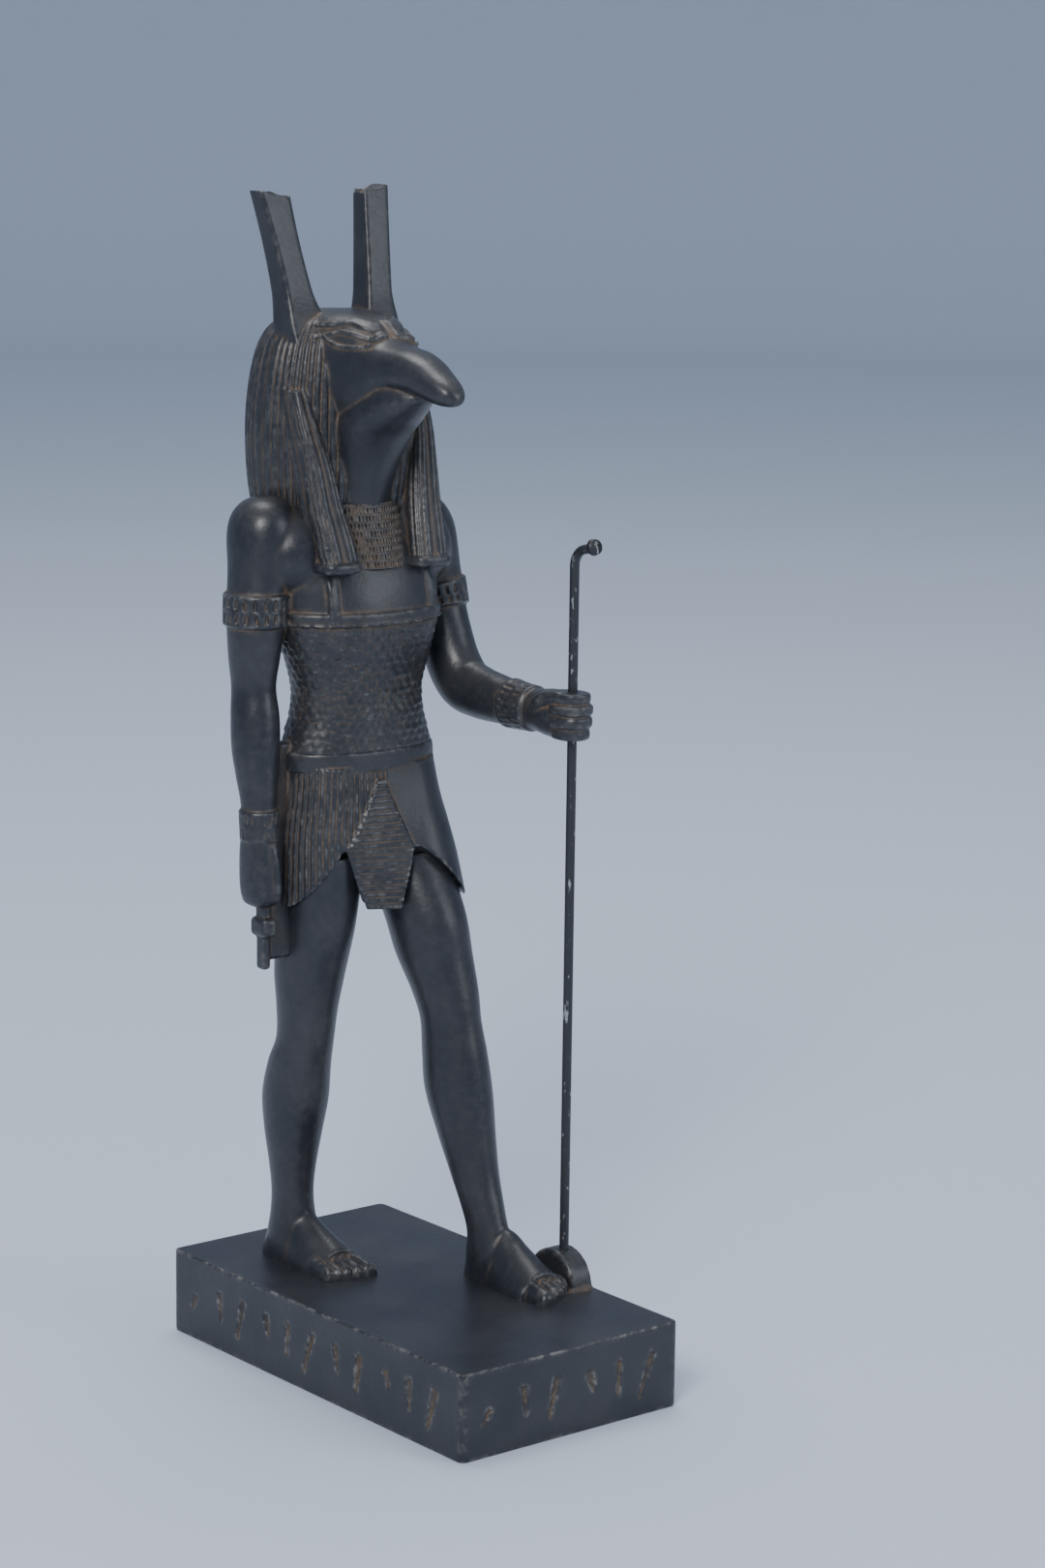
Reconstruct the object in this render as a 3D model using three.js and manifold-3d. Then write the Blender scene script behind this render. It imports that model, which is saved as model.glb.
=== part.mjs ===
// A striding animal-headed god with a staff, on a rectangular base: a souvenir statue cast in dark
// stone resin, with a bent metal rod let into its fist and into a half-round block by the front foot.
// Millimetres, +Z up. The figure faces -Y, its right hand is on the -X side, and the origin is the
// middle of the base's underside.
import * as THREE from "three";
import { mergeVertices } from "three/addons/utils/BufferGeometryUtils.js";
import Module from "manifold-3d";

const wasm = await Module();
wasm.setup();

// Driving sizes
const base = { length: 122, width: 67.4, height: 21.9, corner: 2.5 };
const staffBlock = { x0: 26.9, x1: 33.3, y: -19.4, radius: 8.9 };
const rod = { x: 30.3, y: -20.5, radius: 1.2, foot: 23, bendStart: 204.5, bendRadius: 4.6 };
const rodHead = { radius: 2.1, thickness: 1.1, reach: 4.2, tilt: 0.2 };
const rodSides = 12;
const gap = 0.3;
const belt = { bottom: 151.5, top: 156.7, proud: 0.8 };
const dressBand = { bottom: 188.3, top: 191.6, proud: 0.9 };
const scaleRows = 10;
const scalesRound = 24;
const scaleStep = 0.55;
const hemHeight = 117.4;
const armSides = 10;
const rightBands = [
  { from: 134.8, to: 142.6, proud: 0.7 },
  { from: 188.2, to: 196.4, proud: 1.0 },
];
// Places along the left arm, as its sections count them
const leftBands = [
  { from: 4.95, to: 6.05, proud: 1.0 },
  { from: 11.6, to: 13.1, proud: 0.7 },
];
const apron = { top: 149.4, corner: 132.2, bottom: 117.2, ribs: 11, proud: 0.9 };
const ear = { base: 262, bevel: 3.4, rootX: 11.4, frontLean: 7.6, rootFront: 33.2 };
const rightEar = { side: -1, top: 293.6, halfWidth: 4.6, tipX: 15.9, waist: 0.7 };
const leftEar = { side: 1, top: 294.8, halfWidth: 3.9, tipX: 15.0, waist: 0.1 };

// Sections of the figure from low to high: height, centre x, centre y, half width, half depth
const torsoSections = [
  [138, 0, 28, 20.5, 12.2],
  [149, 0, 28.2, 21.2, 12.0],
  [155, 0, 28.3, 20.9, 12.2],
  [160, 0, 28.2, 19.6, 12.0],
  [165, 0, 28.0, 18.1, 11.7],
  [171, 0, 28.0, 17.6, 11.5],
  [177, 0, 27.8, 18.9, 12.3],
  [184, 0, 28.3, 21.0, 14.2],
  [190, 0, 29.0, 22.5, 15.2],
  [197, 0, 30.0, 23.5, 15.0],
  [204, 0, 31.3, 23.6, 13.8],
  [210, 0, 32.4, 22.0, 12.0],
  [216, 0, 33.2, 15.0, 9.5],
  [219, 0, 33.0, 9.5, 8.5],
];
const neckSections = [
  [212, 0, 32.5, 11.0, 10.4],
  [218, 0, 31.2, 9.9, 10.2],
  [224, 0, 29.8, 10.2, 10.9],
  [230, 0, 27.6, 10.6, 12.4],
  [235, 0, 24.8, 10.8, 14.4],
  [239, 0, 21.6, 10.2, 16.6],
  [242.5, 0, 19.2, 9.2, 18.4],
  [245.5, 0, 18.4, 8.0, 19.0],
  [250, 0, 20.5, 7.2, 15.0],
];
const rearLegSections = [
  [21, -12.6, 37.0, 6.4, 8.8],
  [28, -12.4, 37.2, 6.2, 8.0],
  [34, -12.4, 37.6, 5.4, 6.5],
  [40, -12.4, 37.8, 5.1, 6.1],
  [47, -12.4, 37.8, 5.7, 6.9],
  [56, -12.4, 37.5, 7.0, 8.4],
  [65, -12.4, 36.6, 7.9, 9.7],
  [74, -12.3, 35.0, 7.6, 9.0],
  [81, -12.2, 32.7, 7.0, 8.1],
  [89, -12.0, 32.1, 7.5, 8.5],
  [98, -11.8, 31.4, 8.6, 9.7],
  [112, -11.4, 29.3, 9.6, 11.2],
  [130, -10.8, 28.3, 10.6, 12.2],
];
const frontLegSections = [
  [21, 17.4, -7.4, 5.4, 8.2],
  [28, 17.2, -7.2, 5.3, 7.6],
  [34, 17.1, -6.2, 4.9, 6.2],
  [40, 16.9, -4.2, 5.1, 6.3],
  [48, 16.7, -1.0, 5.8, 7.0],
  [57, 16.3, 1.8, 6.8, 8.3],
  [69, 15.6, 4.6, 7.9, 9.9],
  [79, 15.1, 5.8, 7.6, 9.5],
  [87, 14.7, 7.0, 7.2, 8.8],
  [94, 14.3, 8.9, 8.0, 9.5],
  [103, 13.5, 12.5, 9.1, 11.0],
  [114, 12.4, 15.6, 9.8, 12.0],
  [130, 10.8, 24.0, 10.8, 12.6],
];
// Height, then centre x, centre y, half width and half depth of the cloth over one thigh
const kiltOverFrontThigh = [
  [116, 12.2, 17.2, 11.6, 13.2],
  [129, 11.4, 20.8, 11.6, 13.2],
  [137, 10.8, 23.3, 11.3, 12.9],
  [144, 10.2, 25.8, 11.2, 12.7],
  [152, 9.8, 27.7, 11.2, 12.2],
];
const kiltOverRearThigh = [
  [116, -11.4, 29.6, 11.6, 12.9],
  [129, -11.1, 29.0, 11.8, 13.2],
  [137, -10.8, 28.6, 11.8, 13.2],
  [144, -10.3, 28.3, 11.5, 12.8],
  [152, -9.8, 28.2, 11.4, 12.2],
];
const rightArmSections = [
  [133, -28.6, 29.0, 4.3, 4.7],
  [144, -28.9, 29.4, 4.4, 4.7],
  [151, -28.9, 30.1, 5.2, 5.6],
  [158, -28.8, 30.8, 5.9, 6.4],
  [166, -28.6, 31.4, 5.9, 6.4],
  [173, -28.4, 32.3, 5.4, 6.0],
  [180, -28.3, 32.2, 6.2, 6.8],
  [188, -28.1, 31.9, 6.9, 7.6],
  [196, -27.4, 32.2, 7.2, 8.0],
  [203, -26.2, 32.8, 7.7, 8.6],
  [210, -25.5, 33.2, 8.2, 9.3],
  [215, -25.0, 33.4, 7.6, 8.5],
  [218.4, -24.2, 33.6, 5.4, 6.2],
  [220, -23.4, 33.6, 2.6, 3.0],
];
// The left arm bends forward: a way along it, then x, y, z, half width and half height of the limb
const leftArmSections = [
  [0, 22.8, 33.8, 217.0, 2.6, 3.0],
  [1, 23.6, 33.8, 215.2, 4.8, 5.4],
  [2, 24.4, 33.6, 212.6, 6.4, 7.2],
  [3, 25.2, 33.3, 208.6, 7.4, 8.4],
  [4, 26.0, 32.9, 202.5, 7.5, 8.5],
  [5, 27.5, 32.4, 195.0, 7.0, 7.9],
  [6, 28.2, 31.2, 188.0, 6.9, 7.6],
  [7, 28.5, 28.2, 181.0, 6.6, 7.2],
  [8, 28.8, 25.4, 174.8, 6.6, 7.4],
  [9, 29.0, 21.0, 170.2, 6.6, 7.2],
  [10, 29.3, 15.0, 168.5, 6.3, 6.7],
  [11, 29.6, 8.0, 167.8, 5.9, 6.2],
  [12, 29.8, 0.0, 167.3, 5.1, 5.5],
  [13, 29.9, -6.0, 167.2, 4.8, 5.2],
  [14, 30.0, -12.0, 167.2, 5.0, 5.8],
];
const wigSections = [
  [203, 0, 38.2, 17.0, 11.0],
  [210, 0, 38.4, 19.6, 13.4],
  [216, 0, 38.5, 20.6, 15.2],
  [223, 0, 38.5, 21.4, 16.5],
  [231, 0, 38.5, 21.8, 17.0],
  [239, 0, 38.5, 21.7, 17.0],
  [246, 0, 38.5, 21.0, 16.5],
  [252, 0, 38.5, 19.8, 15.8],
  [257, 0, 38.6, 18.0, 14.6],
  [261, 0, 38.7, 15.4, 12.8],
  [264, 0, 38.8, 11.6, 9.8],
  [265.6, 0, 39.0, 6.0, 6.0],
];
const lappetSections = [
  [203.6, 13.8, 18.2, 5.2, 5.0],
  [211, 14.4, 20.4, 5.0, 5.0],
  [218, 15.2, 22.7, 4.6, 5.0],
  [228, 16.2, 25.0, 3.9, 5.0],
  [236, 17.4, 27.2, 3.2, 4.7],
  [246, 18.0, 30.5, 2.4, 4.0],
];
// Head from the tip of the snout to the back: depth y, centre height, half width, half height, squareness
const headSections = [
  [-12.2, 246.0, 1.5, 1.3, 2.2],
  [-11.3, 246.4, 2.9, 2.3, 2.2],
  [-9.3, 247.1, 4.0, 3.2, 2.3],
  [-6, 248.2, 4.9, 4.0, 2.4],
  [-2, 249.9, 5.6, 4.7, 2.5],
  [3, 251.2, 6.4, 5.2, 2.5],
  [8, 251.4, 7.3, 5.8, 2.5],
  [12, 250.9, 8.4, 7.1, 2.6],
  [15, 250.2, 9.3, 9.3, 2.8],
  [18.5, 250.0, 10.3, 12.0, 2.9],
  [23, 249.6, 11.6, 14.2, 2.8],
  [29, 249.4, 13.8, 15.4, 2.8],
  [35, 249.0, 14.8, 16.0, 2.8],
  [41, 248.5, 14.0, 16.0, 2.6],
];
// Foot from heel to the roots of the toes: way from the heel, shift towards the big toe, half width, top
const footSections = [
  [0, 0, 2.6, 26],
  [2, 0, 4.6, 30],
  [6, 0, 5.7, 34.5],
  [13, 0, 6.2, 35.5],
  [17, 0.1, 6.7, 32.9],
  [21.5, 0.3, 7.1, 30.3],
  [27, 0.5, 7.3, 27.6],
];
const rightFoot = { x: -12.9, y: 46.2, towardsBigToe: 1, slant: 0.15 };
const leftFoot = { x: 17.8, y: 0.8, towardsBigToe: -1, slant: 0.5 };
const footTurn = 0.065;
// Each toe from the big one outwards: place across the foot, half width, how far its tip reaches
const toes = [
  [4.6, 2.3, 34.3],
  [1.1, 1.6, 34.6],
  [-1.6, 1.5, 34.4],
  [-4.0, 1.4, 34.0],
  [-6.1, 1.4, 33.4],
];

// Smooth values between stations, whose first number is their place along the way
function between(stations, at) {
  const last = stations.length - 1;
  let k = 0;
  while (k < last - 1 && at > stations[k + 1][0]) k += 1;
  const before = stations[Math.max(k - 1, 0)];
  const from = stations[k];
  const to = stations[k + 1];
  const after = stations[Math.min(k + 2, last)];
  const span = to[0] - from[0];
  const t = THREE.MathUtils.clamp((at - from[0]) / span, 0, 1);
  return from.map((start, n) => {
    if (n === 0) return at;
    const slopeIn = ((to[n] - before[n]) / (to[0] - before[0])) * span;
    const slopeOut = ((after[n] - from[n]) / (after[0] - from[0])) * span;
    const rise = t * t * (3 - 2 * t);
    return (
      start * (1 - rise) +
      to[n] * rise +
      slopeIn * t * (1 - t) * (1 - t) -
      slopeOut * t * t * (1 - t)
    );
  });
}

// Evenly spaced numbers from a to b, both included
function steps(a, b, count) {
  return Array.from({ length: count + 1 }, (_, i) => a + ((b - a) * i) / count);
}

// A point on a rounded oval and the way out from it; power 2 is an ellipse, more is squarer
function oval(angle, halfWidth, halfDepth, power) {
  const c = Math.cos(angle);
  const s = Math.sin(angle);
  const x = halfWidth * Math.sign(c) * Math.abs(c) ** (2 / power);
  const y = halfDepth * Math.sign(s) * Math.abs(s) ** (2 / power);
  const out = new THREE.Vector2(c / halfWidth, s / halfDepth).normalize();
  return { x, y, out };
}

// A level ring at one height of a limb or body; swell(i, angle) pushes single points outwards
function levelRing(section, count, power = 2, swell = () => 0) {
  const [z, cx, cy, halfWidth, halfDepth] = section;
  return Array.from({ length: count }, (_, i) => {
    const angle = (2 * Math.PI * i) / count;
    const p = oval(angle, halfWidth, halfDepth, power);
    const push = swell(i, angle);
    return new THREE.Vector3(cx + p.x + p.out.x * push, cy + p.y + p.out.y * push, z);
  });
}

// Rings square to a way through space, with the limb's width kept along the given side
function ringsAlong(way, count, side = new THREE.Vector3(1, 0, 0), power = 2) {
  return way.map(([, x, y, z, halfWidth, halfHeight, swell = () => 0], k) => {
    const back = way[Math.max(k - 1, 0)];
    const ahead = way[Math.min(k + 1, way.length - 1)];
    const run = new THREE.Vector3(ahead[1] - back[1], ahead[2] - back[2], ahead[3] - back[3]).normalize();
    const across = side.clone().addScaledVector(run, -side.dot(run)).normalize();
    const over = new THREE.Vector3().crossVectors(run, across);
    return Array.from({ length: count }, (_, i) => {
      const p = oval((2 * Math.PI * i) / count, halfWidth, halfHeight, power);
      const push = swell(i);
      const at = new THREE.Vector3(x, y, z).addScaledVector(across, p.x + p.out.x * push);
      return at.addScaledVector(over, p.y + p.out.y * push);
    });
  });
}

// A closed skin over rings of equal count, with a flat cap at each end, as a solid
function loft(rings) {
  const count = rings[0].length;
  const points = rings.flat();
  const faces = [];
  for (let k = 0; k + 1 < rings.length; k += 1) {
    for (let i = 0; i < count; i += 1) {
      const here = k * count + i;
      const next = k * count + ((i + 1) % count);
      faces.push([here, next, next + count], [here, next + count, here + count]);
    }
  }
  const lastStart = (rings.length - 1) * count;
  for (let i = 1; i + 1 < count; i += 1) {
    faces.push([0, i + 1, i], [lastStart, lastStart + i, lastStart + i + 1]);
  }
  return solidFrom(points, faces);
}

function signedVolume(points, faces) {
  return faces.reduce((sum, [a, b, c]) => {
    const normal = new THREE.Vector3().crossVectors(points[b], points[c]);
    return sum + points[a].dot(normal);
  }, 0);
}

function solidFrom(points, faces) {
  const outward = signedVolume(points, faces) > 0;
  return new wasm.Manifold(
    new wasm.Mesh({
      numProp: 3,
      vertProperties: new Float32Array(points.flatMap((p) => p.toArray())),
      triVerts: new Uint32Array(faces.flatMap(([a, b, c]) => (outward ? [a, b, c] : [a, c, b]))),
    }),
  );
}

// A three.js geometry as a solid
function solidOf(geometry) {
  const bare = geometry.index ? geometry.toNonIndexed() : geometry.clone();
  bare.deleteAttribute("normal");
  bare.deleteAttribute("uv");
  const merged = mergeVertices(bare, 1e-4);
  const { array } = merged.attributes.position;
  const points = Array.from({ length: array.length / 3 }, (_, i) =>
    new THREE.Vector3().fromArray(array, 3 * i),
  );
  const index = merged.index.array;
  const faces = Array.from({ length: index.length / 3 }, (_, i) => [...index.slice(3 * i, 3 * i + 3)]);
  return solidFrom(points, faces);
}

function join(solids) {
  return solids.reduce((whole, one) => whole.add(one));
}

function geometryOf(solid) {
  const mesh = solid.getMesh();
  const geometry = new THREE.BufferGeometry();
  const positions = new Float32Array(mesh.vertProperties);
  geometry.setAttribute("position", new THREE.BufferAttribute(positions, mesh.numProp));
  geometry.setIndex(new THREE.BufferAttribute(new Uint32Array(mesh.triVerts), 1));
  geometry.computeVertexNormals();
  return geometry;
}

function limb(sections, count, levels) {
  const heights = steps(sections[0][0], sections.at(-1)[0], levels);
  return loft(heights.map((z) => levelRing(between(sections, z), count)));
}

// Base
function baseBlock() {
  const outline = (shrink, z) => {
    const ring = [];
    const reach = base.corner;
    for (const [sx, sy, start] of [[1, 1, 0], [-1, 1, 1], [-1, -1, 2], [1, -1, 3]]) {
      for (const turn of [0, 0.5, 1]) {
        const angle = ((start + turn) * Math.PI) / 2;
        const x = sx * (base.width / 2 - reach) + (reach - shrink) * Math.cos(angle);
        const y = sy * (base.length / 2 - reach) + (reach - shrink) * Math.sin(angle);
        ring.push(new THREE.Vector3(x, y, z));
      }
    }
    return ring;
  };
  const rim = 0.7;
  return loft([
    outline(0, 0),
    outline(0, base.height - rim),
    outline(rim, base.height),
  ]);
}

// Shallow strokes in a row along a face of the base, in place of an inscription: plain tapered cuts
// whose length, tilt and height go round in a fixed order
function strokesAlong(length, count, place) {
  const depth = 0.6;
  return Array.from({ length: count }, (_, k) => {
    const turn = (k * 0.618) % 1;
    const tall = 4.5 + 8 * ((k * 0.382) % 1);
    const tilt = (turn - 0.5) * 0.9;
    const wide = 0.8 + 0.5 * ((k * 0.27) % 1);
    const outline = new THREE.Shape();
    outline.moveTo(-wide, tall / 2);
    outline.lineTo(wide, tall / 2 - 0.6);
    outline.lineTo(wide * 0.5, -tall / 2);
    outline.lineTo(-wide * 0.3, -tall / 2 + 0.4);
    outline.closePath();
    const cut = new THREE.ExtrudeGeometry(outline, { depth: 2 * depth, bevelEnabled: false });
    cut.translate(0, 0, -depth).rotateZ(tilt).rotateX(Math.PI / 2);
    const along = (k + 0.5 + 0.3 * (turn - 0.5)) * (length / count) - length / 2;
    return solidOf(place(cut, along, base.height * 0.52 + (turn - 0.5) * 3));
  });
}

function frontStrokes() {
  const place = (cut, along, z) => cut.translate(along, -base.length / 2, z);
  return strokesAlong(base.width - 8, 6, place);
}

function sideStrokes() {
  const place = (cut, along, z) => cut.rotateZ(Math.PI / 2).translate(-base.width / 2, -along, z);
  return strokesAlong(base.length - 12, 11, place);
}

// The half-round block that the staff stands in
function footBlock() {
  const outline = new THREE.Shape();
  outline.moveTo(-staffBlock.radius, -1);
  for (const angle of steps(Math.PI, 0, 14)) {
    outline.lineTo(staffBlock.radius * Math.cos(angle), staffBlock.radius * Math.sin(angle));
  }
  outline.lineTo(staffBlock.radius, -1);
  outline.closePath();
  const depth = staffBlock.x1 - staffBlock.x0;
  const block = new THREE.ExtrudeGeometry(outline, { depth, bevelEnabled: false });
  block.rotateX(Math.PI / 2).rotateZ(Math.PI / 2);
  return solidOf(block.translate(staffBlock.x0, staffBlock.y, base.height));
}

// Feet
function foot(place) {
  const sole = base.height - 0.6;
  const ringAt = ([way, shift, halfWidth, top], count) =>
    Array.from({ length: count }, (_, i) => {
      const p = oval((2 * Math.PI * i) / count, halfWidth, top - sole, 2.1);
      const across = place.x + footTurn * way + place.towardsBigToe * shift;
      return new THREE.Vector3(across + p.x, place.y - way, sole + Math.max(p.y, 0));
    });
  const instep = loft(footSections.map((section) => ringAt(section, 10)));
  const toeSolids = toes.map(([shift, halfWidth, straight]) => {
    const reach = straight - place.slant * (toes[0][0] - shift);
    const sections = [
      [reach - 9, shift * 0.85, halfWidth, sole + 5.2],
      [reach - 0.7, shift, halfWidth, sole + 3.6],
      [reach, shift, halfWidth * 0.75, sole + 2.6],
    ];
    return loft(sections.map((section) => ringAt(section, 6)));
  });
  return join([instep, ...toeSolids]);
}

// Kilt: one cloth stretched over both thighs, pleated on the figure's right, smooth on its left
function hullRing(z, count) {
  const ovals = [between(kiltOverFrontThigh, z), between(kiltOverRearThigh, z)];
  const fine = 120;
  const hull = Array.from({ length: fine }, (_, i) => {
    const angle = (2 * Math.PI * i) / fine;
    const c = Math.cos(angle);
    const s = Math.sin(angle);
    const touches = ovals.map(([, cx, cy, a, b]) => {
      const reach = Math.hypot(a * c, b * s);
      const x = cx + (a * a * c) / reach;
      const y = cy + (b * b * s) / reach;
      return { x, y, far: x * c + y * s };
    });
    return touches[0].far > touches[1].far ? touches[0] : touches[1];
  });
  const lengths = [0];
  hull.forEach((p, i) => {
    const q = hull[(i + 1) % fine];
    lengths.push(lengths[i] + Math.hypot(q.x - p.x, q.y - p.y));
  });
  return Array.from({ length: count }, (_, i) => {
    const target = (lengths[fine] * i) / count;
    const k = lengths.findIndex((l) => l > target) - 1;
    const t = (target - lengths[k]) / (lengths[k + 1] - lengths[k]);
    const p = hull[k];
    const q = hull[(k + 1) % fine];
    return new THREE.Vector2(p.x + (q.x - p.x) * t, p.y + (q.y - p.y) * t);
  });
}

// The hem hangs level behind and at the sides, and climbs in front to the apron's corners
function hemAt(point) {
  if (point.y > 28) return hemHeight;
  const climb = point.x < 0 ? (22.5 + point.x) / 10.5 : (22 - point.x) / 14;
  return hemHeight + 15 * THREE.MathUtils.clamp(climb, 0, 1);
}

function kilt() {
  const count = 46;
  const pleat = 0.6;
  const hems = hullRing(125, count).map(hemAt);
  const rings = steps(0, 1, 3).map((t) =>
    hems.map((hem, i) => {
      const z = hem + (belt.bottom + 0.8 - hem) * t;
      const ring = hullRing(z, count);
      const before = ring[(i + count - 1) % count];
      const after = ring[(i + 1) % count];
      const out = new THREE.Vector2(after.y - before.y, before.x - after.x).normalize();
      const pleated = ring[i].x < 1;
      const push = pleated && i % 2 === 0 ? -pleat : 0;
      return new THREE.Vector3(ring[i].x + out.x * push, ring[i].y + out.y * push, z);
    }),
  );
  return loft(rings);
}

// Depth of the kilt's front at one x, read off the ring at that height
function kiltFront(x, z) {
  const ring = hullRing(z, 120);
  let front = Infinity;
  ring.forEach((p, i) => {
    const q = ring[(i + 1) % ring.length];
    if (Math.min(p.x, q.x) > x || Math.max(p.x, q.x) < x || p.x === q.x) return;
    const y = p.y + ((q.y - p.y) * (x - p.x)) / (q.x - p.x);
    front = Math.min(front, y);
  });
  return front;
}

// The apron: a kite of crosswise ribs that follows the kilt's front
const apronEdges = [
  [apron.bottom, -7.5, 0.4],
  [apron.corner, -12.2, 5.2],
  [apron.top, -2.6, -0.6],
];

function apronSolid() {
  const edgeAt = (z) => {
    const k = z < apron.corner ? 0 : 1;
    const [z0, left0, right0] = apronEdges[k];
    const [z1, left1, right1] = apronEdges[k + 1];
    const t = (z - z0) / (z1 - z0);
    return [left0 + (left1 - left0) * t, right0 + (right1 - right0) * t];
  };
  const levels = steps(apron.bottom, apron.top, 2 * apron.ribs);
  const rings = levels.map((z, k) => {
    const [left, right] = edgeAt(z);
    const rise = k % 2 === 0 ? 0.1 : apron.proud;
    const front = steps(left, right, 2).map((x) => new THREE.Vector3(x, kiltFront(x, z) - rise, z));
    const deep = kiltFront((left + right) / 2, z) + 3;
    return [...front, new THREE.Vector3(right, deep, z), new THREE.Vector3(left, deep, z)];
  });
  return loft(rings);
}

// Trunk: hips, belt, rows of overlapping scales, dress band and chest in one skin
function trunkRing(z, swell) {
  return levelRing(between(torsoSections, z), scalesRound, 2.2, swell);
}

function trunk() {
  const rings = [138, 147].map((z) => trunkRing(z, () => 0));
  rings.push(...girdle(belt), ...scaleShirt(), ...girdle(dressBand));
  rings.push(...[197, 203, 209, 214, 219].map((z) => trunkRing(z, () => 0)));
  return loft(rings);
}

// The rounded line of the shoulders, from one upper arm to the other
function yoke() {
  const way = [
    [0, -25.5, 33.2, 208.5, 9.4, 8.2],
    [1, -18, 31.8, 206, 12.2, 12.4],
    [2, 0, 33.4, 205.5, 12.8, 12.2],
    [3, 18, 31.8, 205.5, 11.8, 12.4],
    [4, 25, 33.0, 206.5, 9.0, 8.2],
  ];
  return loft(ringsAlong(way, 12, new THREE.Vector3(0, 0, 1)));
}

function scaleShirt() {
  const rowHeight = (dressBand.bottom - belt.top) / scaleRows;
  const dip = 0.45;
  const scallop = (i, row) => ((i + row) % 2 === 0 ? -dip : dip);
  const rings = [];
  for (let row = 0; row < scaleRows; row += 1) {
    const z = belt.top + row * rowHeight;
    const lip = trunkRing(z + (row === 0 ? 0.7 : 0), () => scaleStep);
    const root = trunkRing(z + rowHeight - 0.12, () => 0.05);
    lip.forEach((p, i) => {
      p.z += scallop(i, row);
    });
    root.forEach((p, i) => {
      p.z += row + 1 < scaleRows ? scallop(i, row + 1) : -0.3;
    });
    rings.push(lip, root);
  }
  return rings;
}

function girdle({ bottom, top, proud }) {
  const soft = 0.5;
  const levels = [
    [bottom, 0],
    [bottom + soft, proud],
    [top - soft, proud],
    [top, 0],
  ];
  return levels.map(([z, push]) => trunkRing(z, () => push));
}

// Straps from the dress band up to the hair, and the collar of beadwork between the two locks
function chestFront(x, z) {
  const [, , cy, a, b] = between(torsoSections, z);
  const c = Math.min(Math.abs(x) / a, 0.98);
  return cy - b * (1 - c ** 2.2) ** (1 / 2.2);
}

function strap(side) {
  const rings = steps(dressBand.bottom + 1, 206, 4).map((z) => {
    const [inner, outer, proud] = [13.2, 16.3, 0.9];
    const corners = [
      [inner, -proud],
      [outer, -proud],
      [outer, 3],
      [inner, 3],
    ];
    return corners.map(([x, y]) => new THREE.Vector3(side * x, chestFront(x, z) + y, z));
  });
  return loft(rings);
}

function collar() {
  const rows = 6;
  const rings = steps(202, 217.6, 2 * rows).map((z, k) => {
    const halfWidth = 8.6;
    const rise = k % 2 === 0 ? 1.0 : 1.6;
    const front = steps(-halfWidth, halfWidth, 3).map(
      (x) => new THREE.Vector3(x, collarFront(x, z) - rise, z),
    );
    return [...front, new THREE.Vector3(halfWidth, 30, z), new THREE.Vector3(-halfWidth, 30, z)];
  });
  return loft(rings);
}

function collarFront(x, z) {
  const slope = (z - 202) / 15.6;
  return 16.9 + 5.6 * slope + 0.035 * x * x;
}

// Arms with their bands: places along the limb, and how far each ring stands out
function bandLevels({ from, to, proud }) {
  const third = (to - from) / 3;
  const edge = third / 4;
  const plain = () => proud;
  const notched = (i) => (i % 2 === 0 ? proud : 0.3 * proud);
  return [
    [from, () => 0],
    [from + edge, plain],
    [from + third, notched],
    [to - third, notched],
    [to - edge, plain],
    [to, () => 0],
  ];
}

function armLevels(places, bands) {
  const clear = places.filter((at) => bands.every(({ from, to }) => at < from - 0.02 * from || at > to * 1.02));
  const levels = [...clear.map((at) => [at, () => 0]), ...bands.flatMap(bandLevels)];
  return levels.sort(([a], [b]) => a - b);
}

function rightArm() {
  const places = rightArmSections.map(([z]) => z);
  const rings = armLevels(places, rightBands).map(([z, swell]) =>
    levelRing(between(rightArmSections, z), armSides, 2, swell),
  );
  return loft(rings);
}

function leftArm() {
  const places = leftArmSections.map(([at]) => at);
  const way = armLevels(places, leftBands).map(([at, swell]) => [...between(leftArmSections, at), swell]);
  return loft(ringsAlong(way, armSides));
}

// The hanging right fist: a rounded block, with the thumb down its front edge
function rightFist() {
  const sections = [
    [118.4, -28.7, 28.8, 2.8, 3.4],
    [119.6, -28.7, 28.7, 3.9, 4.7],
    [123, -28.8, 28.6, 4.5, 5.4],
    [128, -28.8, 28.7, 4.6, 5.5],
    [132, -28.8, 28.9, 4.5, 5.2],
    [136, -28.8, 29.0, 4.3, 4.7],
  ];
  const block = loft(sections.map((section) => levelRing(section, 12, 2.6)));
  const thumbWay = [
    [0, -28.0, 25.4, 133.5, 1.7, 1.7],
    [1, -27.8, 24.6, 129.0, 1.8, 1.8],
    [2, -27.4, 24.4, 123.5, 1.8, 1.8],
    [3, -27.2, 24.7, 119.8, 1.2, 1.2],
  ];
  return join([block, loft(ringsAlong(thumbWay, 6))]);
}

// The looped sign in the right fist: only its neck, crossbar and stem stand clear below the hand
function heldSign() {
  const block = (x0, x1, y0, y1, z0, z1) => {
    const edge = 0.8;
    const levels = [
      [z0, edge],
      [z0 + edge, 0],
      [z1, 0],
    ];
    const [cx, cy] = [(x0 + x1) / 2, (y0 + y1) / 2];
    const [a, b] = [(x1 - x0) / 2, (y1 - y0) / 2];
    return loft(levels.map(([z, inset]) => levelRing([z, cx, cy, a - inset, b - inset], 8, 3.4)));
  };
  const neck = block(-29.8, -26.8, 26.2, 30, 114, 121);
  const crossbar = block(-30.4, -26.2, 24.7, 31.5, 110.4, 115.4);
  const stem = block(-29.6, -27, 26.4, 29.9, 102, 112);
  const web = block(-27.6, -17, 27.5, 31.5, 104, 159);
  return join([neck, crossbar, stem, web]);
}

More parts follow.
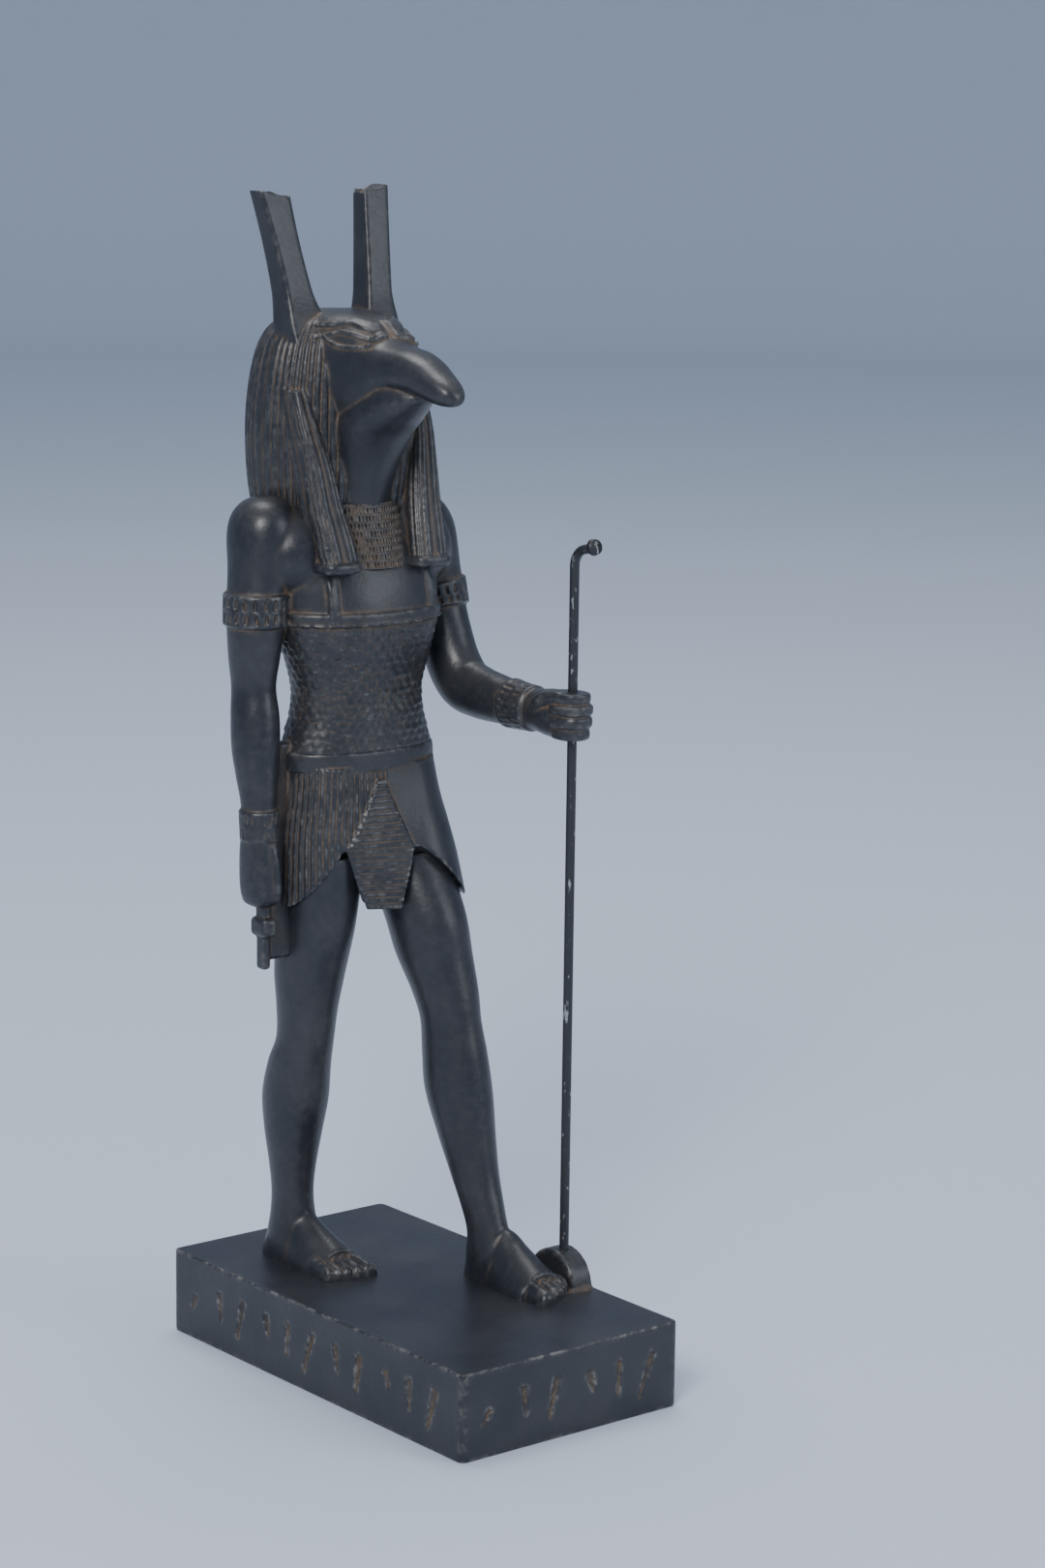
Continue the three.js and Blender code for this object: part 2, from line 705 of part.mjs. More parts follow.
// The raised left fist round the staff: four fingers stacked, the thumb over them
function leftFist() {
  const fingers = 4;
  const bottom = 161.6;
  const fingerHeight = 3.05;
  const rings = [];
  for (let k = 0; k < fingers; k += 1) {
    const grow = 1 - 0.1 * Math.abs(k - 1.6);
    const z = bottom + k * fingerHeight;
    for (const [rise, push] of [[0.05, -0.8], [1.5, 0]]) {
      const section = [z + rise, rod.x - 0.5, rod.y + 0.2, 5.1 * grow + push, 6.0 * grow + push];
      rings.push(levelRing(section, 10, 2.5));
    }
  }
  const palmWay = [
    [0, 29.9, -9.0, 167.2, 4.8, 5.3],
    [1, 30.0, -13.0, 167.2, 5.1, 6.0],
    [2, 30.1, -17.0, 167.2, 5.0, 6.0],
    [3, 30.2, -20.0, 167.2, 4.4, 5.3],
  ];
  const thumbWay = [
    [0, 26.8, -10.5, 168.6, 2.5, 2.3],
    [1, 26.4, -14.2, 170.9, 2.4, 2.1],
    [2, 26.7, -18.2, 172.0, 2.1, 1.9],
    [3, 27.4, -22.0, 171.8, 1.8, 1.6],
    [4, 28.1, -24.0, 171.2, 1.0, 1.0],
  ];
  return join([loft(rings), loft(ringsAlong(palmWay, 8)), loft(ringsAlong(thumbWay, 6))]);
}

// Head
function headRing([y, z, halfWidth, halfHeight, power], count = 14) {
  return Array.from({ length: count }, (_, i) => {
    const p = oval((2 * Math.PI * i) / count, halfWidth, halfHeight, power);
    return new THREE.Vector3(p.x, y, z + p.y);
  });
}

function snoutAndSkull() {
  return loft(headSections.map((section) => headRing(section)));
}

// Flat almond on the side of the head: the rim of the eye, with the eyeball in it
function eye(side) {
  const count = 10;
  const almond = (middle, halfLong, halfTall, reach) => {
    const ring = Array.from({ length: count }, (_, i) => {
      const angle = (2 * Math.PI * i) / count;
      const y = middle + halfLong * Math.cos(angle);
      const up = halfTall * Math.sin(angle) * Math.abs(Math.sin(angle)) ** 0.3;
      const x = 10.5 + 0.3 * (y - 21.3) + reach;
      return new THREE.Vector3(side * x, y, 257.9 + up + 0.06 * (y - 21.3));
    });
    const inner = ring.map((p) => new THREE.Vector3(p.x - side * 4, p.y + 1.2, p.z));
    return loft([inner, ring]);
  };
  return join([almond(21.3, 8.0, 2.3, 0.2), almond(18.8, 2.0, 1.5, 0.6)]);
}

function brow(side) {
  const way = [
    [0, side * 12.7, 30.0, 261.0, 0.9, 1.0],
    [1, side * 10.8, 26.0, 261.7, 1.1, 1.2],
    [2, side * 9.3, 22.0, 261.6, 1.2, 1.3],
    [3, side * 7.3, 16.8, 260.0, 1.1, 1.2],
    [4, side * 5.4, 13.8, 258.6, 0.6, 0.8],
  ];
  return loft(ringsAlong(way, 6));
}

// Ears: tall square posts that lean back and apart, flared at the root and bevelled inwards on top
function earPost({ side, top, halfWidth, tipX, waist }) {
  const ringAt = (z, flare) => {
    const t = (z - ear.base) / (top - ear.base);
    const cx = ear.rootX + (tipX - ear.rootX) * t;
    const front = ear.rootFront + ear.frontLean * t;
    const depth = 8.2 - 2.8 * t;
    const pinch = waist * Math.sin(Math.PI * THREE.MathUtils.clamp(t, 0, 1));
    const half = halfWidth + flare - pinch;
    const [inner, middle, outer] = [cx - half, cx - 0.1 * half, cx + half - 0.3 * flare];
    return [
      [inner, front - flare, -ear.bevel],
      [middle, front - flare, 0],
      [outer, front - flare, 0],
      [outer, front + depth, 0],
      [middle, front + depth, 0],
      [inner, front + depth, -ear.bevel],
    ].map(([x, y, drop]) => new THREE.Vector3(side * x, y, z === top ? z + drop : z));
  };
  const rise = [-6, 0, 3, 8, 18].map((up) => ear.base + up);
  const flares = [1.6, 1.0, 0.3, 0, 0];
  return loft([...rise.map((z, k) => ringAt(z, flares[k])), ringAt(top, 0)]);
}

// Hair: a striped mass round the head, and two locks down the chest, each ending in a bar
function wig() {
  const strands = 20;
  const groove = 0.5;
  const swell = (i, angle) => {
    const front = Math.sin(angle) < -0.8;
    return front || i % 2 === 0 ? 0 : -groove;
  };
  const heights = [203, 209, 218, 228, 238, 247, 254, 259.5, 263.5, 265.6];
  return loft(heights.map((z) => levelRing(between(wigSections, z), 2 * strands, 2.7, swell)));
}

function lappet(side) {
  const heights = [203.6, 211, 222, 234, 246];
  const rings = heights.map((z) => {
    const section = between(lappetSections, z);
    section[1] *= side;
    return levelRing(section, 14, 3.4, (i) => (i % 2 === 0 ? 0 : -0.4));
  });
  const bar = [
    [201.7, 5.0, 4.9],
    [202.3, 5.6, 5.5],
    [204.0, 5.6, 5.5],
    [204.6, 5.1, 5.0],
  ].map(([z, a, b]) => levelRing([z, side * 13.8, 18.2, a, b], 10, 3.6));
  return join([loft(rings), loft(bar)]);
}

// Staff: a round rod, bent forward near its top and ending in a flattened head
function staffSolid() {
  const bendEnd = 1.32;
  const way = [];
  const add = (y, z) => way.push([way.length, rod.x, y, z, rod.radius, rod.radius]);
  add(rod.y, rod.foot);
  add(rod.y, 100);
  add(rod.y, rod.bendStart);
  for (const turn of steps(0, bendEnd, 5).slice(1)) {
    const y = rod.y - rod.bendRadius * (1 - Math.cos(turn));
    add(y, rod.bendStart + rod.bendRadius * Math.sin(turn));
  }
  const [, , endY, endZ] = way.at(-1);
  const run = new THREE.Vector2(-Math.sin(bendEnd), Math.cos(bendEnd));
  const reachTo = (far) => [endY + run.x * far, endZ + run.y * far];
  add(...reachTo(rodHead.reach));
  const shaft = loft(ringsAlong(way, rodSides));
  const disc = [-1, 1].map((end) => {
    const [y, z] = reachTo(rodHead.reach + (end * rodHead.thickness) / 2);
    return [end, rod.x, y, z, rodHead.radius, rodHead.radius];
  });
  return join([shaft, loft(ringsAlong(disc, rodSides))]);
}

function rodHole(bottom, top) {
  const hole = new THREE.CylinderGeometry(rod.radius + gap, rod.radius + gap, top - bottom, rodSides);
  return solidOf(hole.rotateX(Math.PI / 2).translate(rod.x, rod.y, (top + bottom) / 2));
}

function castingSolid() {
  const figure = [
    limb(rearLegSections, 12, 12),
    limb(frontLegSections, 12, 12),
    foot(rightFoot),
    foot(leftFoot),
    kilt(),
    apronSolid(),
    trunk(),
    yoke(),
    strap(-1),
    strap(1),
    collar(),
    rightArm(),
    rightFist(),
    heldSign(),
    leftArm(),
    leftFist(),
    loft(neckSections.map((section) => levelRing(section, 12))),
    snoutAndSkull(),
    eye(-1),
    eye(1),
    brow(-1),
    brow(1),
    wig(),
    lappet(-1),
    lappet(1),
    earPost(rightEar),
    earPost(leftEar),
  ];
  const plinth = baseBlock().subtract(join([...frontStrokes(), ...sideStrokes()]));
  const whole = join([plinth, footBlock(), ...figure]);
  return whole.subtract(rodHole(rod.foot - gap, base.height + 20)).subtract(rodHole(155, 180));
}

function namedMesh(name, solid, look) {
  const mesh = new THREE.Mesh(geometryOf(solid), new THREE.MeshStandardMaterial(look));
  mesh.name = name;
  return mesh;
}

const statue = new THREE.Group();
const darkStone = { color: 0x2a2c33, roughness: 0.5, metalness: 0 };
const blackRod = { color: 0x24272e, roughness: 0.45, metalness: 0.4 };
statue.add(namedMesh("statue_casting", castingSolid(), darkStone));
statue.add(namedMesh("staff", staffSolid(), blackRod));

export default statue;
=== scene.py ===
import math

import bmesh
import bpy
import numpy as np
from mathutils import Matrix, Vector


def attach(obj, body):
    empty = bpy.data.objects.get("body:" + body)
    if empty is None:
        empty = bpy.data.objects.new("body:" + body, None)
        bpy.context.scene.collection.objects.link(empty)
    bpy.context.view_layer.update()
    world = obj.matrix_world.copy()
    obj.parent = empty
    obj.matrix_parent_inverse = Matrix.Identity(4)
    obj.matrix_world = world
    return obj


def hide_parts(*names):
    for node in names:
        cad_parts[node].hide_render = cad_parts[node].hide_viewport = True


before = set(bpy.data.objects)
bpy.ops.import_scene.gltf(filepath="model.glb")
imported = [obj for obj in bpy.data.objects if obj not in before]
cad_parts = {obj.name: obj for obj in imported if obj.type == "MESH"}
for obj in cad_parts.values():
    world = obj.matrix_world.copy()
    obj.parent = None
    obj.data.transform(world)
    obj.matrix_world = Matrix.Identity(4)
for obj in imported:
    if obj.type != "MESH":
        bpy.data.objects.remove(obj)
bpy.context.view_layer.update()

# A striding animal-headed god with a staff, on a rectangular base: a souvenir cast in dark stone
# resin. Everything is worked out in millimetres and scaled to metres when a piece is finished.
# The figure faces -Y, its right hand is on the -X side, and +Z is up.
MM = 0.001
TURN = 2 * math.pi

# Sizes that the pieces share
base = dict(length=122, width=67.4, height=21.9, corner=2.5)
block = dict(x0=26.9, x1=33.3, y=-19.4, radius=8.9)
rod = dict(x=30.3, y=-20.5, radius=1.2, foot=23, bend_start=204.5, bend_radius=4.6, bend=1.32)
rod_head = dict(radius=2.1, thickness=1.1, reach=4.2)
belt = dict(bottom=151.5, top=156.7, proud=0.8)
dress_band = dict(bottom=188.3, top=191.6, proud=0.9)
apron = dict(top=149.4, corner=132.2, bottom=117.2, ribs=21, proud=0.9)
hem_height = 117.4
right_bands = [(134.8, 142.6, 0.7), (188.2, 196.4, 1.0)]
left_bands = [(4.95, 6.05, 1.0), (11.6, 13.1, 0.7)]

# Sections from low to high: height, centre x, centre y, half width, half depth
torso_sections = [
    (138, 0, 28, 20.5, 12.2), (149, 0, 28.2, 21.2, 12.0), (155, 0, 28.3, 20.9, 12.2),
    (160, 0, 28.2, 19.6, 12.0), (165, 0, 28.0, 18.1, 11.7), (171, 0, 28.0, 17.6, 11.5),
    (177, 0, 27.8, 18.9, 12.3), (184, 0, 28.3, 21.0, 14.2), (190, 0, 29.0, 22.5, 15.2),
    (197, 0, 30.0, 23.5, 15.0), (204, 0, 31.3, 23.6, 13.8), (210, 0, 32.4, 22.0, 12.0),
    (216, 0, 33.2, 15.0, 9.5), (219, 0, 33.0, 9.5, 8.5),
]
neck_sections = [
    (212, 0, 32.5, 11.0, 10.4), (218, 0, 31.2, 9.9, 10.2), (224, 0, 29.8, 10.2, 10.9),
    (230, 0, 27.6, 10.6, 12.0), (235, 0, 25.2, 10.8, 13.6), (239, 0, 22.2, 10.2, 15.8),
    (242.5, 0, 19.6, 9.2, 17.6), (245.5, 0, 18.4, 8.0, 18.8), (250, 0, 20.5, 7.2, 15.0),
]
rear_leg_sections = [
    (21, -12.6, 37.0, 6.4, 8.8), (28, -12.4, 37.2, 6.2, 8.0), (34, -12.4, 37.6, 5.4, 6.5),
    (40, -12.4, 37.8, 5.1, 6.1), (47, -12.4, 37.8, 5.7, 6.9), (56, -12.4, 37.5, 7.0, 8.4),
    (65, -12.4, 36.6, 7.9, 9.7), (74, -12.3, 35.0, 7.6, 9.0), (81, -12.2, 32.7, 7.0, 8.1),
    (89, -12.0, 32.1, 7.5, 8.5), (98, -11.8, 31.4, 8.6, 9.7), (112, -11.4, 29.3, 9.6, 11.2),
    (130, -10.8, 28.3, 10.6, 12.2),
]
front_leg_sections = [
    (21, 17.4, -7.4, 5.4, 8.2), (28, 17.2, -7.2, 5.3, 7.6), (34, 17.1, -6.2, 4.9, 6.2),
    (40, 16.9, -4.2, 5.1, 6.3), (48, 16.7, -1.0, 5.8, 7.0), (57, 16.3, 1.8, 6.8, 8.3),
    (69, 15.6, 4.6, 7.9, 9.9), (79, 15.1, 5.8, 7.6, 9.5), (87, 14.7, 7.0, 7.2, 8.8),
    (94, 14.3, 8.9, 8.0, 9.5), (103, 13.5, 12.5, 9.1, 11.0), (114, 12.4, 15.6, 9.8, 12.0),
    (130, 10.8, 24.0, 10.8, 12.6),
]
kilt_over_front_thigh = [
    (116, 12.2, 17.2, 11.6, 13.2), (129, 11.4, 20.8, 11.6, 13.2), (137, 10.8, 23.3, 11.3, 12.9),
    (144, 10.2, 25.8, 11.2, 12.7), (152, 9.8, 27.7, 11.2, 12.2),
]
kilt_over_rear_thigh = [
    (116, -11.4, 29.6, 11.6, 12.9), (129, -11.1, 29.0, 11.8, 13.2), (137, -10.8, 28.6, 11.8, 13.2),
    (144, -10.3, 28.3, 11.5, 12.8), (152, -9.8, 28.2, 11.4, 12.2),
]
right_arm_sections = [
    (133, -28.6, 29.0, 4.3, 4.7), (144, -28.9, 29.4, 4.4, 4.7), (151, -28.9, 30.1, 5.2, 5.6),
    (158, -28.8, 30.8, 5.9, 6.4), (166, -28.6, 31.4, 5.9, 6.4), (173, -28.4, 32.3, 5.4, 6.0),
    (180, -28.3, 32.2, 6.2, 6.8), (188, -28.1, 31.9, 6.9, 7.6), (196, -27.4, 32.2, 7.2, 8.0),
    (203, -26.2, 32.8, 7.7, 8.6), (210, -25.5, 33.2, 8.2, 9.3), (215, -25.0, 33.4, 7.6, 8.5),
    (218.4, -24.2, 33.6, 5.4, 6.2), (220, -23.4, 33.6, 2.6, 3.0),
]
# The left arm bends forward: a way along it, then x, y, z, half width and half height of the limb
left_arm_sections = [
    (0, 22.8, 33.8, 217.0, 2.6, 3.0), (1, 23.6, 33.8, 215.2, 4.8, 5.4),
    (2, 24.4, 33.6, 212.6, 6.4, 7.2), (3, 25.2, 33.3, 208.6, 7.4, 8.4),
    (4, 26.0, 32.9, 202.5, 7.5, 8.5), (5, 27.5, 32.4, 195.0, 7.0, 7.9),
    (6, 28.2, 31.2, 188.0, 6.9, 7.6), (7, 28.5, 28.2, 181.0, 6.6, 7.2),
    (8, 28.8, 25.4, 174.8, 6.6, 7.4), (9, 29.0, 21.0, 170.2, 6.6, 7.2),
    (10, 29.3, 15.0, 168.5, 6.3, 6.7), (11, 29.6, 8.0, 167.8, 5.9, 6.2),
    (12, 29.8, 0.0, 167.3, 5.1, 5.5), (13, 29.9, -6.0, 167.2, 4.8, 5.2),
    (14, 30.0, -12.0, 167.2, 5.0, 5.8),
]
wig_sections = [
    (203, 0, 38.2, 17.0, 11.0), (210, 0, 38.4, 19.6, 13.4), (216, 0, 38.5, 20.6, 15.2),
    (223, 0, 38.5, 21.4, 16.5), (231, 0, 38.5, 21.8, 17.0), (239, 0, 38.5, 21.7, 17.0),
    (246, 0, 38.5, 21.0, 16.5), (252, 0, 38.5, 19.8, 15.8), (257, 0, 38.6, 18.0, 14.6),
    (260.5, 0, 38.7, 15.4, 12.8), (263, 0, 38.8, 11.6, 9.8), (264.4, 0, 39.0, 6.0, 6.0),
]
lappet_sections = [
    (203.6, 13.8, 18.2, 5.2, 5.0), (211, 14.4, 20.4, 5.0, 5.0), (218, 15.2, 22.7, 4.6, 5.0),
    (228, 16.2, 25.0, 3.9, 5.0), (236, 17.4, 27.2, 3.2, 4.7), (246, 18.0, 30.5, 2.4, 4.0),
]
# Head from the tip of the snout to the back: depth y, centre height, half width, half height, squareness
head_sections = [
    (-12.5, 245.9, 0.4, 0.4, 2.1), (-12.2, 246.0, 1.5, 1.3, 2.2), (-11.3, 246.4, 2.9, 2.3, 2.2),
    (-9.3, 247.1, 4.0, 3.2, 2.3), (-6, 248.2, 4.9, 4.0, 2.4), (-2, 249.9, 5.6, 4.7, 2.5),
    (3, 251.2, 6.4, 5.2, 2.5), (8, 251.4, 7.3, 5.8, 2.5), (12, 250.9, 8.4, 7.1, 2.6),
    (15, 250.2, 9.3, 9.3, 2.8), (18.5, 250.0, 10.3, 12.0, 2.9), (23, 249.6, 11.6, 14.2, 2.8),
    (29, 249.4, 13.8, 15.4, 2.8), (35, 249.0, 14.8, 16.0, 2.8), (41, 248.5, 14.0, 16.0, 2.6),
]
# Foot from heel to the roots of the toes: way from the heel, shift to the big toe, half width, top
foot_sections = [
    (0, 0, 2.6, 26), (2, 0, 4.6, 30), (6, 0, 5.7, 34.5), (13, 0, 6.2, 35.7),
    (17, 0.1, 6.7, 33.2), (21.5, 0.3, 7.1, 30.6), (27, 0.5, 7.3, 27.8),
]
right_foot = dict(x=-12.9, y=46.2, big_toe=1, slant=0.15)
left_foot = dict(x=17.8, y=0.8, big_toe=-1, slant=0.5)
foot_turn = 0.065
# Each toe from the big one outwards: place across the foot, half width, how far its tip reaches
toes = [(4.6, 2.3, 34.3), (1.1, 1.6, 34.6), (-1.6, 1.5, 34.4), (-4.0, 1.4, 34.0), (-6.1, 1.4, 33.4)]


# Shaping
def along(stations, at):
    """Smooth values between stations, whose first number is their place along the way."""
    table = np.array(stations, float)
    at = np.asarray(at, float)
    place = table[:, 0]
    k = np.clip(np.searchsorted(place, at, side="left") - 1, 0, len(place) - 2)
    before, start = table[np.maximum(k - 1, 0)], table[k]
    stop, after = table[k + 1], table[np.minimum(k + 2, len(place) - 1)]
    span = stop[:, :1] - start[:, :1]
    t = np.clip((at[:, None] - start[:, :1]) / span, 0, 1)
    slope_in = (stop - before) / (stop[:, :1] - before[:, :1]) * span
    slope_out = (after - start) / (after[:, :1] - start[:, :1]) * span
    rise = t * t * (3 - 2 * t)
    value = start * (1 - rise) + stop * rise
    value += slope_in * t * (1 - t) ** 2 - slope_out * t * t * (1 - t)
    return value[:, 1:].T


def smoothstep(low, high, value):
    t = np.clip((value - low) / (high - low), 0, 1)
    return t * t * (3 - 2 * t)


def bump(distance, width):
    """1 on a line, falling to nothing over about the width on each side."""
    return np.exp(-((distance / width) ** 2))


def chance(*numbers):
    """A fixed number from 0 to 1 for each set of whole numbers, that looks random."""
    mixed = sum(np.asarray(n) * k for n, k in zip(numbers, (12.9898, 78.233, 37.719)))
    return np.mod(np.sin(mixed) * 43758.5453, 1.0)


def oval(angle, half_width, half_depth, power=2.0):
    """Points on a rounded oval and the way out from it; power 2 is an ellipse, more is squarer."""
    c, s = np.cos(angle), np.sin(angle)
    x = half_width * np.sign(c) * np.abs(c) ** (2 / power)
    y = half_depth * np.sign(s) * np.abs(s) ** (2 / power)
    out = np.stack([c / half_width, s / half_depth])
    return x, y, *(out / np.linalg.norm(out, axis=0))


def skin(around, rows, place):
    """A grid rolled up until its sides meet, with its ends filled; place gives the points for the
    turn round it and the way along it, both from 0 to 1."""
    bm = bmesh.new()
    bmesh.ops.create_grid(bm, x_segments=around, y_segments=rows, size=0.5)
    flat = np.array([v.co.xy for v in bm.verts]) + 0.5
    for v, point in zip(bm.verts, place(flat[:, 0], flat[:, 1])):
        v.co = point
    bmesh.ops.remove_doubles(bm, verts=bm.verts, dist=0.002)
    bmesh.ops.holes_fill(bm, edges=bm.edges, sides=0)
    bmesh.ops.recalc_face_normals(bm, faces=bm.faces)
    return bm


def level_skin(sections, around, rows, power=2.0, relief=None):
    """A limb or body of level sections; relief(angle, z) pushes its surface out."""
    low, high = sections[0][0], sections[-1][0]

    def place(turn, way):
        z = low + (high - low) * way
        cx, cy, a, b = along(sections, z)
        x, y, out_x, out_y = oval(TURN * turn, a, b, power)
        push = relief(TURN * turn, z) if relief else 0
        return np.stack([cx + x + out_x * push, cy + y + out_y * push, z], 1)

    return skin(around, rows, place)


def bent_skin(stations, around, rows, side=(1, 0, 0), power=2.0, relief=None):
    """A limb whose sections stand square to a way through space, its width kept along side."""
    first, last = stations[0][0], stations[-1][0]

    def place(turn, way):
        at = first + (last - first) * way
        *centre, a, b = along(stations, at)
        step = 0.05
        ahead = np.array(along(stations, np.minimum(at + step, last))[:3])
        behind = np.array(along(stations, np.maximum(at - step, first))[:3])
        run = (ahead - behind) / np.linalg.norm(ahead - behind, axis=0)
        across = np.array(side, float)[:, None] - run * (np.array(side, float) @ run)
        across /= np.linalg.norm(across, axis=0)
        over = np.cross(run.T, across.T).T
        x, y, out_x, out_y = oval(TURN * turn, a, b, power)
        push = relief(TURN * turn, at) if relief else 0
        return (np.array(centre) + across * (x + out_x * push) + over * (y + out_y * push)).T

    return skin(around, rows, place)


def rounded_block(low, high, edge):
    """A box between two corners with rounded edges."""
    low, high = Vector(low), Vector(high)
    bm = bmesh.new()
    bmesh.ops.create_cube(bm, size=1)
    bmesh.ops.scale(bm, verts=bm.verts, vec=high - low)
    bmesh.ops.translate(bm, verts=bm.verts, vec=(low + high) / 2)
    bmesh.ops.bevel(bm, geom=bm.edges[:], offset=edge, segments=3, profile=0.5, affect="EDGES", material=-1)
    return bm


def mesh_of(bms):
    whole = bmesh.new()
    for bm in bms:
        part = bpy.data.meshes.new("part")
        bm.to_mesh(part)
        bm.free()
        whole.from_mesh(part)
        bpy.data.meshes.remove(part)
    mesh = bpy.data.meshes.new("skins")
    whole.to_mesh(mesh)
    whole.free()
    return mesh


def with_modifier(obj, kind, **settings):
    """The object's mesh after one modifier, which isn't kept on it."""
    modifier = obj.modifiers.new(kind.lower(), kind)
    for name, value in settings.items():
        setattr(modifier, name, value)
    done = bpy.data.meshes.new_from_object(obj.evaluated_get(bpy.context.evaluated_depsgraph_get()))
    obj.modifiers.clear()
    old, obj.data = obj.data, done
    bpy.data.meshes.remove(old)


class Skin:
    """A remeshed skin as arrays: points, ways out and neighbours, for carving by formula."""

    def __init__(self, name, bms, voxel):
        self.obj = bpy.data.objects.new(name, mesh_of(bms))
        bpy.context.scene.collection.objects.link(self.obj)
        with_modifier(self.obj, "REMESH", mode="VOXEL", voxel_size=voxel)
        mesh = self.obj.data
        self.points = np.empty(len(mesh.vertices) * 3, np.float32)
        mesh.vertices.foreach_get("co", self.points)
        self.points = self.points.reshape(-1, 3).astype(float)
        edges = np.empty(len(mesh.edges) * 2, np.int32)
        mesh.edges.foreach_get("vertices", edges)
        self.a, self.b = edges.reshape(-1, 2).T
        self.count = np.bincount(np.r_[self.a, self.b], minlength=len(self.points))
        self.masks = {}

    def blur(self, values, times, share=0.5):
        """Values averaged with their neighbours, many times over."""
        columns = values.T if values.ndim > 1 else [values]
        done = []
        for column in columns:
            for _ in range(times):
                near = np.bincount(self.a, column[self.b], len(self.points))
                near += np.bincount(self.b, column[self.a], len(self.points))
                column = column * (1 - share) + share * near / self.count
            done.append(column)
        return np.stack(done, 1) if values.ndim > 1 else done[0]

    def soften(self, weight, times):
        """Rounds the skin where the weight, a number or one for each point, is high."""
        smooth = self.blur(self.points, times)
        weight = weight[:, None] if np.ndim(weight) else weight
        self.points += (smooth - self.points) * weight

    def out(self):
        mesh = self.obj.data
        mesh.vertices.foreach_set("co", self.points.astype(np.float32).ravel())
        mesh.update()
        normals = np.empty(len(mesh.vertices) * 3, np.float32)
        mesh.vertices.foreach_get("normal", normals)
        return normals.reshape(-1, 3).astype(float)

    def push(self, amount):
        self.points += self.out() * amount[:, None]

    def wear(self, near=6, wide=40):
        """Masks of the hollows that hold patina and the ridges that rub pale."""
        normals = self.out()
        for name, times, full in (("near", near, 0.10), ("wide", wide, 0.35)):
            inward = np.einsum("ij,ij->i", self.blur(self.points, times) - self.points, normals)
            self.masks["hollow_" + name] = np.clip(inward / full, 0, 1)
            self.masks["ridge_" + name] = np.clip(-inward / full, 0, 1)

    def finish(self, material, slot, faces):
        """Writes the masks, thins the mesh to its share of faces, and puts it in place."""
        mesh = self.obj.data
        self.out()
        for name, values in self.masks.items():
            layer = mesh.attributes.new(name, "FLOAT", "POINT")
            layer.data.foreach_set("value", values.astype(np.float32))
        mesh.transform(Matrix.Scale(MM, 4))
        triangles = sum(len(p.vertices) - 2 for p in mesh.polygons)
        if triangles > faces:
            with_modifier(self.obj, "DECIMATE", ratio=faces / triangles)
        return finish_piece(self.obj, material, slot, "statue_casting")


def finish_piece(obj, material, slot, *nodes):
    obj.data.shade_smooth()
    obj.data.materials.clear()
    obj.data.materials.append(material)
    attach(obj, "root")
    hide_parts(*nodes)
    return obj


# Surface finish
def add(tree, kind, **settings):
    node = tree.nodes.new(kind)
    for name, value in settings.items():
        if name in ("operation", "blend_type", "data_type", "noise_dimensions", "feature"):
            setattr(node, name, value)
    return node


def noise(tree, coords, scale, detail=3, roughness=0.55, stretch=None):
    if stretch is not None:
        mapping = tree.nodes.new("ShaderNodeMapping")
        mapping.inputs["Scale"].default_value = stretch
        tree.links.new(coords, mapping.inputs["Vector"])
        coords = mapping.outputs["Vector"]
    node = tree.nodes.new("ShaderNodeTexNoise")
    node.inputs["Scale"].default_value = scale
    node.inputs["Detail"].default_value = detail
    node.inputs["Roughness"].default_value = roughness
    tree.links.new(coords, node.inputs["Vector"])
    return node.outputs["Fac"]


def ramp(tree, value, low, high):
    node = tree.nodes.new("ShaderNodeMapRange")
    node.interpolation_type = "SMOOTHSTEP"
    node.inputs["From Min"].default_value = low
    node.inputs["From Max"].default_value = high
    tree.links.new(value, node.inputs["Value"])
    return node.outputs["Result"]


def calc(tree, operation, first, second=None):
    node = tree.nodes.new("ShaderNodeMath")
    node.operation = operation
    node.use_clamp = operation in ("ADD", "MULTIPLY", "MAXIMUM")
    for socket, value in zip(node.inputs, (first, second)):
        if value is None:
            continue
        if isinstance(value, (int, float)):
            socket.default_value = value
        else:
            tree.links.new(value, socket)
    return node.outputs["Value"]


def blend(tree, share, first, second):
    node = tree.nodes.new("ShaderNodeMix")
    node.data_type = "RGBA"
    tree.links.new(share, node.inputs["Factor"])
    for socket, value in ((node.inputs["A"], first), (node.inputs["B"], second)):
        pass
    for name, value in (("A_Color", first), ("B_Color", second)):
        socket = next(s for s in node.inputs if s.identifier == name)
        if isinstance(value, tuple):
            socket.default_value = (*value, 1)
        else:
            tree.links.new(value, socket)
    return next(s for s in node.outputs if s.identifier == "Result_Color")


